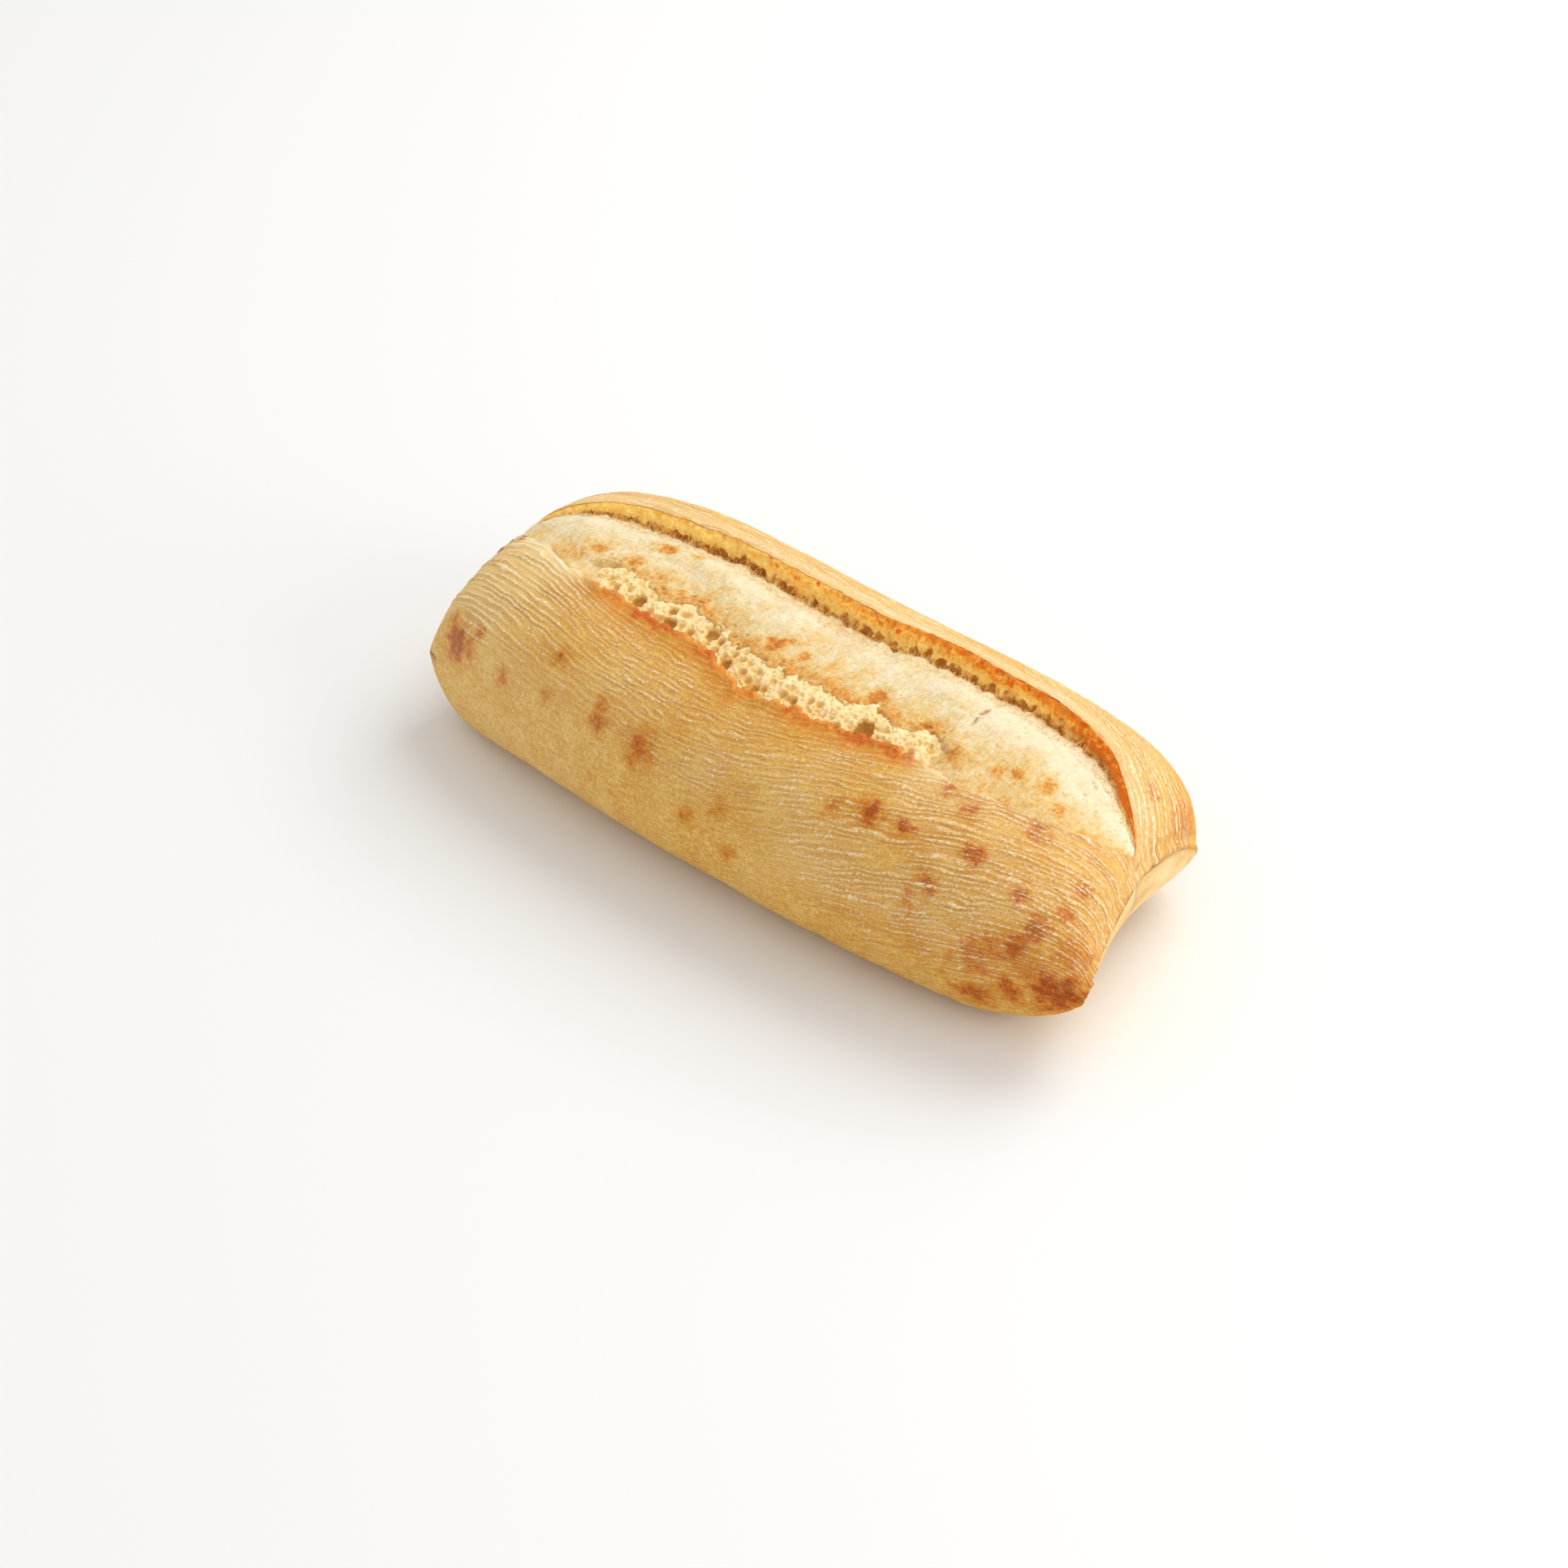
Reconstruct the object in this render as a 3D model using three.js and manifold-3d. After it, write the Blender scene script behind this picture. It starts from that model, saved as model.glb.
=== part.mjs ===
// A ciabatta loaf: a flat-bottomed pillow of dough, pinched shut at both ends and slashed along its top.
// In the oven the slash tore open on a pale dome of crumb, with a raised ear of crust along its far side.
// Millimetres: X runs along the loaf, Y across it and Z up from the surface that it rests on.
import * as THREE from "three";
import { mergeVertices } from "three/addons/utils/BufferGeometryUtils.js";
import Module from "manifold-3d";

// The body, seen from above: shares run from -1 to 1 along the loaf (t) and across it (q, near to far).
const MIDDLE_HALF_WIDTH = 58.3;
const NARROWING_POWER = 3; // how late the sides draw in towards the ends
const END_SWAY = 1.7; // how far the ends lie behind the middle

// The two pinched ends. Reach, skew and notch shape the pinched line as seen from above, and flat is the
// share of the half length that lies on the surface. A corner's pull rounds it off.
const RIGHT_END = {
  reach: 130.6,
  skew: -9.7,
  notch: 4.9,
  flat: 0.71,
  near: { halfWidth: 44.2, tipHeight: 26, pull: 2.2 },
  far: { halfWidth: 48.5, tipHeight: 18, pull: 2.5 },
};
const LEFT_END = {
  reach: 134.7,
  skew: -5.5,
  notch: 4.0,
  flat: 0.76,
  near: { halfWidth: 44.2, tipHeight: 24, pull: 0.3 },
  far: { halfWidth: 45.0, tipHeight: 22, pull: 2.0 },
};
const CORNER_POWER = 6; // how close to the corner the pull starts, across the loaf
const TUCK_POWER = 12; // and along it

// The body, seen from the side.
const HEIGHT = 65.0;
const EDGE_HEIGHT = 26.5; // where the loaf is widest
const PINCH_HEIGHT = 37.4; // the pinched line at its middle
const PINCH_HALF_THICKNESS = 1.2;
const SIDE_POWER = 2.93; // how square the shoulders are
const CROWN_POWER = 2.44; // how flat the top is
const END_SWELL_POWER = 5.58; // how close to its ends the top stays high
const END_FALL_POWER = 2.23; // how steeply the top falls to the pinch
const FLAT_ACROSS = 0.6; // share of the half width that lies on the surface

// The slash, in shares of the half width, and its tear in millimetres.
const NEAR_LIP = 0.4;
const NEAR_LIP_WIDENING = 0.09; // towards the right end
const NEAR_LIP_BULGE = 0.08; // where the tear came furthest down the near side
const FAR_LIP = 0.55;
const FAR_LIP_DIP = 0.08; // where the ear stands closest to the middle
const MIDDLE_SPREAD = 0.2; // how much of the length the bulge and the dip take
const WALL_RUN = 0.11; // from the foot of the torn wall to the ear
const WALL_HOLLOW = 0.05; // how far the wall is undercut
const SHUT_POWER = 4; // how late the slash closes towards the ends
const SHUT_ROUNDING = 0.6;
const LEAST_OPENING = 0.1; // what is left of the slash at the pinched ends
const GROOVE_DEPTH = 9;
const GROOVE_POWER = 5; // how late the crumb falls into the groove
const NEAR_STEP = 2.2; // how far the near crust stands above the crumb
const NEAR_STEP_REACH = 0.55; // share of the half length where it does
const NEAR_STEP_POWER = 3;
const CRUMB_SWELL = { size: 0.7, along: 9, across: 5 }; // soft waves of the crumb

// The crust behind the slash: the ear along its edge, and the higher back at the left.
const EAR_RISE = 2.6;
const EAR_FADE = 14; // from the ear's edge
const BACK_RISE = 3.5;
const BACK_MIDDLE = -0.62;
const BACK_SPREAD = 0.4;

// Waves of the torn lips: size as a share of the half width, waves over the half length, and start.
const NEAR_WAVES = [
  { size: 0.02, count: 3.1, start: 0.4 },
  { size: 0.014, count: 6.7, start: 2.1 },
];
const FAR_WAVES = [
  { size: 0.014, count: 2.3, start: 1.2 },
  { size: 0.01, count: 5.9, start: 3.0 },
];
// Rags of the torn wall, as a share of the half width.
const WALL_RAGS = [
  { size: 0.012, count: 13.3, start: 0.9 },
  { size: 0.01, count: 18.1, start: 2.4 },
];

// Open bubbles of the crumb, along the near lip: the first and the last share along the loaf, the least
// and the most share of the way over the crumb, and radii.
const BUBBLES = { count: 15, first: -0.56, last: 0.44, least: 0.04, most: 0.22, small: 2.0, large: 3.9 };
const BUBBLE_SUNK = 0.35; // how far a bubble's middle lies below the crumb, in radii
const GOLDEN = 0.618; // spreads them without a pattern

// How finely the form is cut into faces.
const STATIONS = 76;
const NEAR_CRUST_STEPS = 15;
const CRUMB_STEPS = 12;
const CRUMB_CROWDING = 1.5; // steps grow shorter towards the groove
const WALL_STEPS = 5;
const FAR_CRUST_STEPS = 12;
const UNDERSIDE_STEPS = 20;
const BUBBLE_DETAIL = 1;
const WELD = 1e-3; // points closer than this are one

const CRUST_COLOUR = 0xd9ab66;
const CRUST_ROUGHNESS = 0.8;

const mix = THREE.MathUtils.lerp;
const fraction = (value) => value - Math.floor(value);
const bell = (value, middle, spread) => Math.exp(-(((value - middle) / spread) ** 2));
const waves = (list, t) =>
  list.reduce((sum, wave) => sum + wave.size * Math.sin(wave.count * Math.PI * t + wave.start), 0);
const endAt = (t) => (t > 0 ? RIGHT_END : LEFT_END);
const cornerAt = (t, q) => (q > 0 ? endAt(t).far : endAt(t).near);

// The place of a point of the loaf at its shares along and across, and at a height.
function place(t, q, z) {
  const end = endAt(t);
  const corner = cornerAt(t, q);
  const nearEnd = Math.abs(t) ** NARROWING_POWER;
  const halfWidth = mix(MIDDLE_HALF_WIDTH, corner.halfWidth, nearEnd);
  const pull = corner.pull * Math.abs(q) ** CORNER_POWER;
  const inward = end.notch * (1 - q * q) + pull;
  const x = t * end.reach + nearEnd * (end.skew * q - Math.sign(t) * inward);
  const y = halfWidth * q + END_SWAY * t * t - Math.sign(q) * pull * Math.abs(t) ** TUCK_POWER;
  return new THREE.Vector3(x, y, z);
}

const pinchHeight = (t, q) => mix(PINCH_HEIGHT, cornerAt(t, q).tipHeight, q * q);
const pinchHalf = (q) => PINCH_HALF_THICKNESS * (1 - q * q);

// The top as it would be without its slash.
function topHeight(t, q) {
  const crown = (1 - Math.abs(q) ** SIDE_POWER) ** (1 / CROWN_POWER);
  const middle = mix(EDGE_HEIGHT, HEIGHT, crown);
  const fall = (1 - Math.abs(t) ** END_SWELL_POWER) ** (1 / END_FALL_POWER);
  return mix(pinchHeight(t, q) + pinchHalf(q), middle, fall);
}

// The underside: flat in the middle, with a round edge that rises to the widest line and to the pinch.
function undersideHeight(t, q) {
  const beyond = (share, flat) => Math.max(0, (Math.abs(share) - flat) / (1 - flat));
  const quarter = (r) => Math.sqrt(Math.max(0, 1 - r * r));
  const middle = EDGE_HEIGHT * (1 - quarter(beyond(q, FLAT_ACROSS)));
  return mix(pinchHeight(t, q) - pinchHalf(q), middle, quarter(beyond(t, endAt(t).flat)));
}

// The slash: how far it is open along the loaf, and the shares across of its lips and its groove.
const opening = (t) => Math.max(LEAST_OPENING, (1 - Math.abs(t) ** SHUT_POWER) ** SHUT_ROUNDING);
function nearLip(t) {
  const bulge = NEAR_LIP_BULGE * bell(t, 0, MIDDLE_SPREAD);
  return -opening(t) * (NEAR_LIP + NEAR_LIP_WIDENING * t + bulge + waves(NEAR_WAVES, t));
}
function farLip(t) {
  const dip = FAR_LIP_DIP * bell(t, 0, MIDDLE_SPREAD);
  return opening(t) * (FAR_LIP - dip + waves(FAR_WAVES, t));
}
const grooveFoot = (t) => farLip(t) - WALL_RUN * opening(t);

// The torn crumb, from just inside the near lip (v = 0) to the foot of the far wall (v = 1).
function crumbHeight(t, q, v) {
  const swell = CRUMB_SWELL.size * Math.sin(CRUMB_SWELL.along * t + CRUMB_SWELL.across * v) * v * (1 - v) * 4;
  const step = NEAR_STEP * Math.max(0, 1 - (t / NEAR_STEP_REACH) ** 2) * (1 - v) ** NEAR_STEP_POWER;
  const groove = GROOVE_DEPTH * opening(t) * v ** GROOVE_POWER;
  return topHeight(t, q) + (swell - groove) * opening(t) - step;
}

// The far crust, which lifts into an ear along the slash and swells at the back left.
function farCrustHeight(t, q) {
  const lip = farLip(t);
  const ear = EAR_RISE * Math.exp(((lip - q) * MIDDLE_HALF_WIDTH) / EAR_FADE) * (1 - q);
  const across = (4 * (q - lip) * (1 - q)) / (1 - lip) ** 2;
  const back = BACK_RISE * bell(t, BACK_MIDDLE, BACK_SPREAD) * across;
  return topHeight(t, q) + opening(t) * (ear + back);
}

// One cut across the loaf, as a closed ring that starts at the near edge and goes over the top.
function ringAt(t) {
  const ring = [];
  const add = (q, z) => ring.push(place(t, q, z));
  const [near, foot, ear] = [nearLip(t), grooveFoot(t), farLip(t)];
  for (let i = 0; i <= NEAR_CRUST_STEPS; i++) {
    const q = mix(-1, near, (i / NEAR_CRUST_STEPS) ** 2);
    add(q, topHeight(t, q));
  }
  for (let i = 1; i <= CRUMB_STEPS; i++) {
    const v = 1 - (1 - i / CRUMB_STEPS) ** CRUMB_CROWDING;
    const q = mix(near, foot, v);
    add(q, crumbHeight(t, q, v));
  }
  const footHeight = crumbHeight(t, foot, 1);
  const earHeight = farCrustHeight(t, ear);
  for (let i = 1; i < WALL_STEPS; i++) {
    const w = i / WALL_STEPS;
    const hollow = (WALL_HOLLOW + waves(WALL_RAGS, t + w)) * opening(t) * Math.sin(Math.PI * w);
    add(mix(foot, ear, w) + hollow, mix(footHeight, earHeight, w));
  }
  for (let i = 0; i <= FAR_CRUST_STEPS; i++) {
    const q = mix(1, ear, (1 - i / FAR_CRUST_STEPS) ** 2);
    add(q, farCrustHeight(t, q));
  }
  for (let i = 1; i < UNDERSIDE_STEPS; i++) {
    const q = Math.cos((Math.PI * i) / UNDERSIDE_STEPS);
    add(q, undersideHeight(t, q));
  }
  return ring;
}

// Joins rings of equal length into one closed skin, each end shut by a web across its ring.
function loft(rings) {
  const size = rings[0].length;
  const faces = [];
  for (let s = 0; s + 1 < rings.length; s++) {
    for (let i = 0; i < size; i++) {
      const j = (i + 1) % size;
      const [a, b] = [s * size + i, s * size + j];
      faces.push(a, a + size, b, b, a + size, b + size);
    }
  }
  for (const [s, flip] of [[0, true], [rings.length - 1, false]]) {
    const outline = rings[s].map((point) => new THREE.Vector2(point.y, point.z));
    for (const [a, b, c] of THREE.ShapeUtils.triangulateShape(outline, [])) {
      const [first, last] = flip ? [c, a] : [a, c];
      faces.push(s * size + first, s * size + b, s * size + last);
    }
  }
  return new THREE.BufferGeometry().setFromPoints(rings.flat()).setIndex(faces);
}

// The bubbles that the tear opened, as balls that sit just under the crumb's surface.
function bubbleAt(i) {
  const t = mix(BUBBLES.first, BUBBLES.last, (i + 0.5) / BUBBLES.count);
  const v = mix(BUBBLES.least, BUBBLES.most, fraction(i * GOLDEN));
  const radius = mix(BUBBLES.small, BUBBLES.large, fraction((i + 0.5) * GOLDEN * GOLDEN));
  const q = mix(nearLip(t), grooveFoot(t), v);
  const middle = place(t, q, crumbHeight(t, q, v) - BUBBLE_SUNK * radius);
  return new THREE.IcosahedronGeometry(radius, BUBBLE_DETAIL).translate(middle.x, middle.y, middle.z);
}

const wasm = await Module();
wasm.setup();

// A closed geometry as a solid that can be cut, and a cut solid as a geometry.
function solidOf(geometry) {
  const bare = new THREE.BufferGeometry().setAttribute("position", geometry.getAttribute("position"));
  const welded = mergeVertices(bare.setIndex(geometry.index), WELD);
  const vertProperties = welded.getAttribute("position").array;
  return new wasm.Manifold(new wasm.Mesh({ numProp: 3, vertProperties, triVerts: welded.index.array }));
}
function geometryOf(solid) {
  const { vertProperties, triVerts } = solid.getMesh();
  const skin = new THREE.BufferGeometry();
  skin.setAttribute("position", new THREE.BufferAttribute(vertProperties, 3));
  skin.setIndex(new THREE.BufferAttribute(triVerts, 1));
  skin.computeVertexNormals();
  return skin;
}

// The cuts across lie closer together towards the ends, where the form turns fastest.
const stationShares = Array.from({ length: STATIONS + 1 }, (_, i) =>
  Math.sin(Math.PI * (i / STATIONS - 0.5)),
);
const dough = solidOf(loft(stationShares.map(ringAt)));
const bubbles = Array.from({ length: BUBBLES.count }, (_, i) => solidOf(bubbleAt(i)));
const torn = bubbles.reduce((rest, bubble) => rest.subtract(bubble), dough);

const bread = new THREE.MeshStandardMaterial({
  color: CRUST_COLOUR,
  roughness: CRUST_ROUGHNESS,
  metalness: 0,
});
const loaf = new THREE.Mesh(geometryOf(torn), bread);
loaf.name = "loaf";

const ciabatta = new THREE.Group();
ciabatta.add(loaf);

export default ciabatta;
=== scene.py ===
import math

import bpy
import numpy as np
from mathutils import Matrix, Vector, noise


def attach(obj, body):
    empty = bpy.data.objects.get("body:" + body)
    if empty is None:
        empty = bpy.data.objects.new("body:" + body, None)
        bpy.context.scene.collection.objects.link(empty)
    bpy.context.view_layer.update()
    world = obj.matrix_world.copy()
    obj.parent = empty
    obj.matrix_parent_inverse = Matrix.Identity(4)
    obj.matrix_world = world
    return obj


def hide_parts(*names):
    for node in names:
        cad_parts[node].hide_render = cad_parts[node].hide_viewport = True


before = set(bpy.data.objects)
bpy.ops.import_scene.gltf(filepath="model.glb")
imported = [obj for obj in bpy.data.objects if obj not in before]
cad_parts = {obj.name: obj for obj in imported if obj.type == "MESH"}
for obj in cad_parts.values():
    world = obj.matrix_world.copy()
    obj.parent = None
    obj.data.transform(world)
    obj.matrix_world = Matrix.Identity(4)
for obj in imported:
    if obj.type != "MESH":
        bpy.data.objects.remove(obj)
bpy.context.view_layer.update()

# The studio: a plain pale table top that runs out of the picture, under soft light.
# A wide panel stands high behind the loaf and a weaker one to its right, and a white room fills the shade.
# The camera looks down on the loaf from its near right corner.
MM = 0.001
PHOTO_SIDE = 1932
FOCAL_PIXELS = 3600
SENSOR = 36
CAMERA_AZIMUTH = math.radians(41.2)
CAMERA_ELEVATION = math.radians(37.35)
CAMERA_DISTANCE = 925.6
AIM = np.array((-2.1, 1.7, 23.7))
AIM_PIXEL = np.array((993.2, 919.4))
TABLE_SIDE = 8.0
TABLE_COLOUR = (0.86, 0.855, 0.84, 1)
TABLE_ROUGHNESS = 0.9
ROOM_LIGHT = 0.74
PANELS = (
    dict(place=Vector((0.25, 1.15, 1.45)), size=1.3, power=17.5),
    dict(place=Vector((1.35, 0.3, 0.55)), size=0.8, power=6),
)

towards_camera = np.array((
    math.sin(CAMERA_AZIMUTH) * math.cos(CAMERA_ELEVATION),
    -math.cos(CAMERA_AZIMUTH) * math.cos(CAMERA_ELEVATION),
    math.sin(CAMERA_ELEVATION),
))
camera_right = np.array((math.cos(CAMERA_AZIMUTH), math.sin(CAMERA_AZIMUTH), 0))
camera_up = np.cross(towards_camera, camera_right)


def photo_pixels(points):
    """Where points of the loaf, in millimetres, show in the picture."""
    from_aim = points - AIM
    scale = FOCAL_PIXELS / (CAMERA_DISTANCE - from_aim @ towards_camera)
    return np.stack((AIM_PIXEL[0] + scale * (from_aim @ camera_right),
                     AIM_PIXEL[1] - scale * (from_aim @ camera_up)), -1)


bpy.ops.object.select_all(action="DESELECT")
bpy.ops.object.camera_add(location=Vector(AIM + CAMERA_DISTANCE * towards_camera) * MM)
camera = bpy.context.object
camera.rotation_euler = Vector(towards_camera).to_track_quat("Z", "Y").to_euler()
camera.data.sensor_width = SENSOR
camera.data.lens = FOCAL_PIXELS * SENSOR / PHOTO_SIDE
camera.data.shift_x = 0.5 - AIM_PIXEL[0] / PHOTO_SIDE
camera.data.shift_y = AIM_PIXEL[1] / PHOTO_SIDE - 0.5
bpy.context.scene.camera = camera

for panel in PANELS:
    bpy.ops.object.light_add(type="AREA", location=panel["place"])
    lamp = bpy.context.object
    lamp.rotation_euler = panel["place"].to_track_quat("Z", "Y").to_euler()
    lamp.data.size = panel["size"]
    lamp.data.energy = panel["power"]

room = bpy.data.worlds.new("white room")
room.use_nodes = True
backdrop = room.node_tree.nodes["Background"]
backdrop.inputs["Color"].default_value = (1, 1, 1, 1)
backdrop.inputs["Strength"].default_value = ROOM_LIGHT
bpy.context.scene.world = room
bpy.context.scene.view_settings.view_transform = "Standard"

bpy.ops.object.select_all(action="DESELECT")
bpy.ops.mesh.primitive_plane_add(size=TABLE_SIDE)
table = bpy.context.object
table.name = "table_top"
table_paint = bpy.data.materials.new("pale table top")
table_paint.use_nodes = True
paint = table_paint.node_tree.nodes["Principled BSDF"]
paint.inputs["Base Color"].default_value = TABLE_COLOUR
paint.inputs["Roughness"].default_value = TABLE_ROUGHNESS
table.data.materials.append(table_paint)

# The near crust: the flap of skin on the near side, from the middle of the base up to the slash.
# Baked golden, dusted with flour, and wrinkled where the dough was drawn out and pinched shut at both ends.
# A grid is wrapped round the flap's outline, its seam is welded under the base, and its two ends are filled.
HALF_LENGTH = 132
MIDDLE_HALF_WIDTH = 58.3
END_SWAY = 1.7
HEIGHT = 65.0
EDGE_HEIGHT = 26.5
CROWN_POWERS = (2.93, 2.44)
FALL_POWERS = (5.58, 2.23)
PINCH_HEIGHT = 37.4
PINCH_HALF_THICKNESS = 1.2
FLAT_ACROSS = 0.6
LEFT_FULLNESS = 1.3
SLASH_END = 0.985
SLASH_LEAST = 0.003
TORN_LEFT = (-0.68, -0.52)
TORN_RIGHT = (0.56, 0.42)
NEAR_LIP_ACROSS = 0.4
FAR_LIP_ACROSS = 0.55
GROOVE_WIDTH = 0.085
GROOVE_DEPTH = 7.0
NEAR_STEP = 2.2
NEAR_STEP_REACH = 0.55
EAR_RISE = 2.6
EAR_FADE = 14.0
BACK_SWELL = 3.5
BEAD_HEIGHT = 0.8
GUTTER_DEPTH = 0.4
PLEAT_HEIGHT = 0.5
BEAD_PLEATS = 1.1
SKIN_PLEATS = 1.6
FACING = 0.05
RIGHT_END = dict(reach=130.6, skew=-9.7, notch=4.9, flat=0.71, full=2.0)
LEFT_END = dict(reach=134.7, skew=-5.5, notch=4.0, flat=0.78, full=3.2)
NEAR_RIGHT = dict(half_width=44.2, tip=26.0, pull=2.2, tuck=0.0)
FAR_RIGHT = dict(half_width=48.5, tip=18.0, pull=2.5, tuck=4.0)
NEAR_LEFT = dict(half_width=44.2, tip=24.0, pull=0.3, tuck=0.0)
FAR_LEFT = dict(half_width=45.0, tip=22.0, pull=2.0, tuck=2.0)


def mix(a, b, share):
    return a + (b - a) * share


def unit(value):
    """A value held between 0 and 1."""
    return np.clip(value, 0, 1)


def smooth(low, high, value):
    """A soft step from 0 at low to 1 at high, also where high is the smaller."""
    share = unit((value - low) / (high - low))
    return share * share * (3 - 2 * share)


def bell(value, middle, spread):
    return np.exp(-((value - middle) / spread) ** 2)


def distance(vectors):
    return np.linalg.norm(vectors, axis=-1)


def fade(apart, reach):
    """1 at an edge, and less with the distance from it, over about a reach."""
    return np.exp(-np.maximum(apart, 0) / reach)


def at_end(t, size):
    return np.where(t > 0, RIGHT_END[size], LEFT_END[size])


def at_corner(t, q, size):
    right = np.where(q > 0, FAR_RIGHT[size], NEAR_RIGHT[size])
    left = np.where(q > 0, FAR_LEFT[size], NEAR_LEFT[size])
    return np.where(t > 0, right, left)


def place(t, q, z):
    """Points of the loaf at shares along (t) and across (q) it, and at a height."""
    near_end = np.abs(t) ** 3
    pull = at_corner(t, q, "pull") * np.abs(q) ** 6
    inward = at_end(t, "notch") * (1 - q * q) + pull
    half_width = mix(MIDDLE_HALF_WIDTH, at_corner(t, q, "half_width"), near_end)
    x = t * at_end(t, "reach") + near_end * (at_end(t, "skew") * q - np.sign(t) * inward)
    tuck = pull * np.abs(t) ** 12 + at_corner(t, q, "tuck") * np.abs(q) ** 6 * np.abs(t) ** 24
    y = half_width * q + END_SWAY * t * t - np.sign(q) * tuck
    return np.stack(np.broadcast_arrays(x, y, z), -1)


def pinch_height(t, q):
    return mix(PINCH_HEIGHT, at_corner(t, q, "tip"), q * q)


def top_height(t, q):
    """The top as it would be without its slash."""
    crown = unit(1 - np.abs(q) ** CROWN_POWERS[0]) ** (1 / CROWN_POWERS[1])
    fall = unit(1 - np.abs(t) ** FALL_POWERS[0]) ** (1 / FALL_POWERS[1])
    low = pinch_height(t, q) + PINCH_HALF_THICKNESS * (1 - q * q)
    return mix(low, mix(EDGE_HEIGHT, HEIGHT, crown), fall)


def underside_height(t, q):
    """The flat base, and its round edge up to the widest line and to the pinch."""
    beyond_side = unit((np.abs(q) - FLAT_ACROSS) / (1 - FLAT_ACROSS))
    flat = at_end(t, "flat")
    beyond_end = unit((np.abs(t) - flat) / (1 - flat))
    low = pinch_height(t, q) - PINCH_HALF_THICKNESS * (1 - q * q)
    round_side = 2 + LEFT_FULLNESS * smooth(-0.55, -0.95, t) * (q < 0)
    middle = EDGE_HEIGHT * (1 - (1 - beyond_side ** round_side) ** (1 / round_side))
    full = at_end(t, "full")
    return mix(low, middle, (1 - beyond_end ** full) ** (1 / full))


def waves(t, *rows):
    """Waves along the loaf, the sum of rows that each have a size, a count and a start."""
    return sum(size * np.sin(count * math.pi * t + start) for size, count, start in rows)


def opening(t):
    """How far the slash is open along the loaf: it closes to a point just short of each end."""
    return np.maximum(SLASH_LEAST, unit(1 - (t / SLASH_END) ** 4) ** 0.6)


def near_lip(t):
    """The edge of the near crust along the slash, as a share across the loaf."""
    line = NEAR_LIP_ACROSS + 0.09 * t + 0.08 * bell(t, 0, 0.2)
    return -opening(t) * (line + waves(t, (0.02, 3.1, 0.4), (0.014, 6.7, 2.1)))


def far_lip(t):
    """The edge of the far crust along the slash, as a share across the loaf."""
    line = FAR_LIP_ACROSS - 0.08 * bell(t, 0, 0.2) + waves(t, (0.014, 2.3, 1.2), (0.01, 5.9, 3.0))
    return opening(t) * (line - 0.17 * smooth(0.78, 0.97, t))


def groove_foot(t):
    """The foot of the torn wall, where the crumb's dome ends in front of the ear."""
    run = GROOVE_WIDTH - 0.03 * bell(t, -0.45, 0.2) + 0.03 * smooth(0.72, 0.92, t)
    return far_lip(t) - run * opening(t)


def crumb_height(t, q, v):
    """The torn crumb, from the near lip (v = 0) to the foot of the far wall (v = 1)."""
    swell = 0.7 * np.sin(9 * t + 5 * v) * v * (1 - v) * 4
    step = NEAR_STEP * unit(1 - (t / NEAR_STEP_REACH) ** 2) * (1 - v) ** 3
    groove = (GROOVE_DEPTH + 2.5 * smooth(0.6, 0.85, t)) * opening(t) * v ** 5
    return top_height(t, q) + (swell - groove) * opening(t) - step


def far_crust_height(t, q):
    """The crust behind the slash, which lifts into an ear along its edge."""
    lip = far_lip(t)
    ear = EAR_RISE * np.exp((lip - q) * MIDDLE_HALF_WIDTH / EAR_FADE) * (1 - q)
    back = BACK_SWELL * bell(t, -0.62, 0.4) * 4 * (q - lip) * (1 - q) / (1 - lip) ** 2
    return top_height(t, q) + opening(t) * (ear + back)


def grain(points, *sizes):
    """Soft noise between about -1 and 1 at each point, its lumps of one size or of a size along each axis."""
    flat = (points / np.array(sizes)).reshape(-1, 3)
    return np.array([noise.noise(point) for point in flat.tolist()]).reshape(points.shape[:-1])


def lumps(points, *rows):
    """Soft relief, the sum of noises that each have a height, a lump size and a start."""
    return sum(height * grain(points + start, size) for height, size, start in rows)


def grid_normals(points, row, towards=np.array((0, 0, 1))):
    """Unit normals of a grid of points, turned so that the middle of a row faces a direction."""
    normals = np.cross(np.gradient(points, axis=0), np.gradient(points, axis=1))
    normals = normals / np.maximum(np.linalg.norm(normals, axis=-1, keepdims=True), 1e-9)
    return normals if normals[len(points) // 2, row] @ towards > 0 else -normals


def stations(count):
    """Shares along the loaf, closer together towards its pinched ends."""
    u = np.linspace(-1, 1, count + 1)
    return np.sin(math.pi / 2 * (0.7 * u + 0.3 * u ** 3))[:, None]


def share_rows(count, first=0):
    return (np.arange(first, count + 1) / count)[None, :]


def fray(t, *rows):
    """A ragged line along the loaf, the sum of noises that each have a reach, a lump size and a start."""
    line = np.stack((t * HALF_LENGTH, 0 * t, 0 * t), -1)
    return sum(reach * grain(line + (start, 0, 0), size, 1, 1) for reach, size, start in rows)


def run_length(line):
    """How far each point of a line lies from its start, along it."""
    return np.concatenate(((0,), np.cumsum(distance(np.diff(line, axis=0)))))


def torn(t):
    """1 where the near lip is torn and stands clear of the crumb, 0 where the crust runs out on it."""
    return smooth(*TORN_LEFT, t) * smooth(*TORN_RIGHT, t)


def ring_points(t, rows):
    """The points of a piece, their shares across and their row numbers, from rows of shares and heights."""
    rows = [np.broadcast_arrays(q, z, t)[:2] for q, z in rows]
    q = np.concatenate([row[0] for row in rows], axis=1)
    z = np.concatenate([row[1] for row in rows], axis=1)
    return place(t, q, z), q, np.arange(q.shape[1])[None, :] + 0 * q


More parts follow.
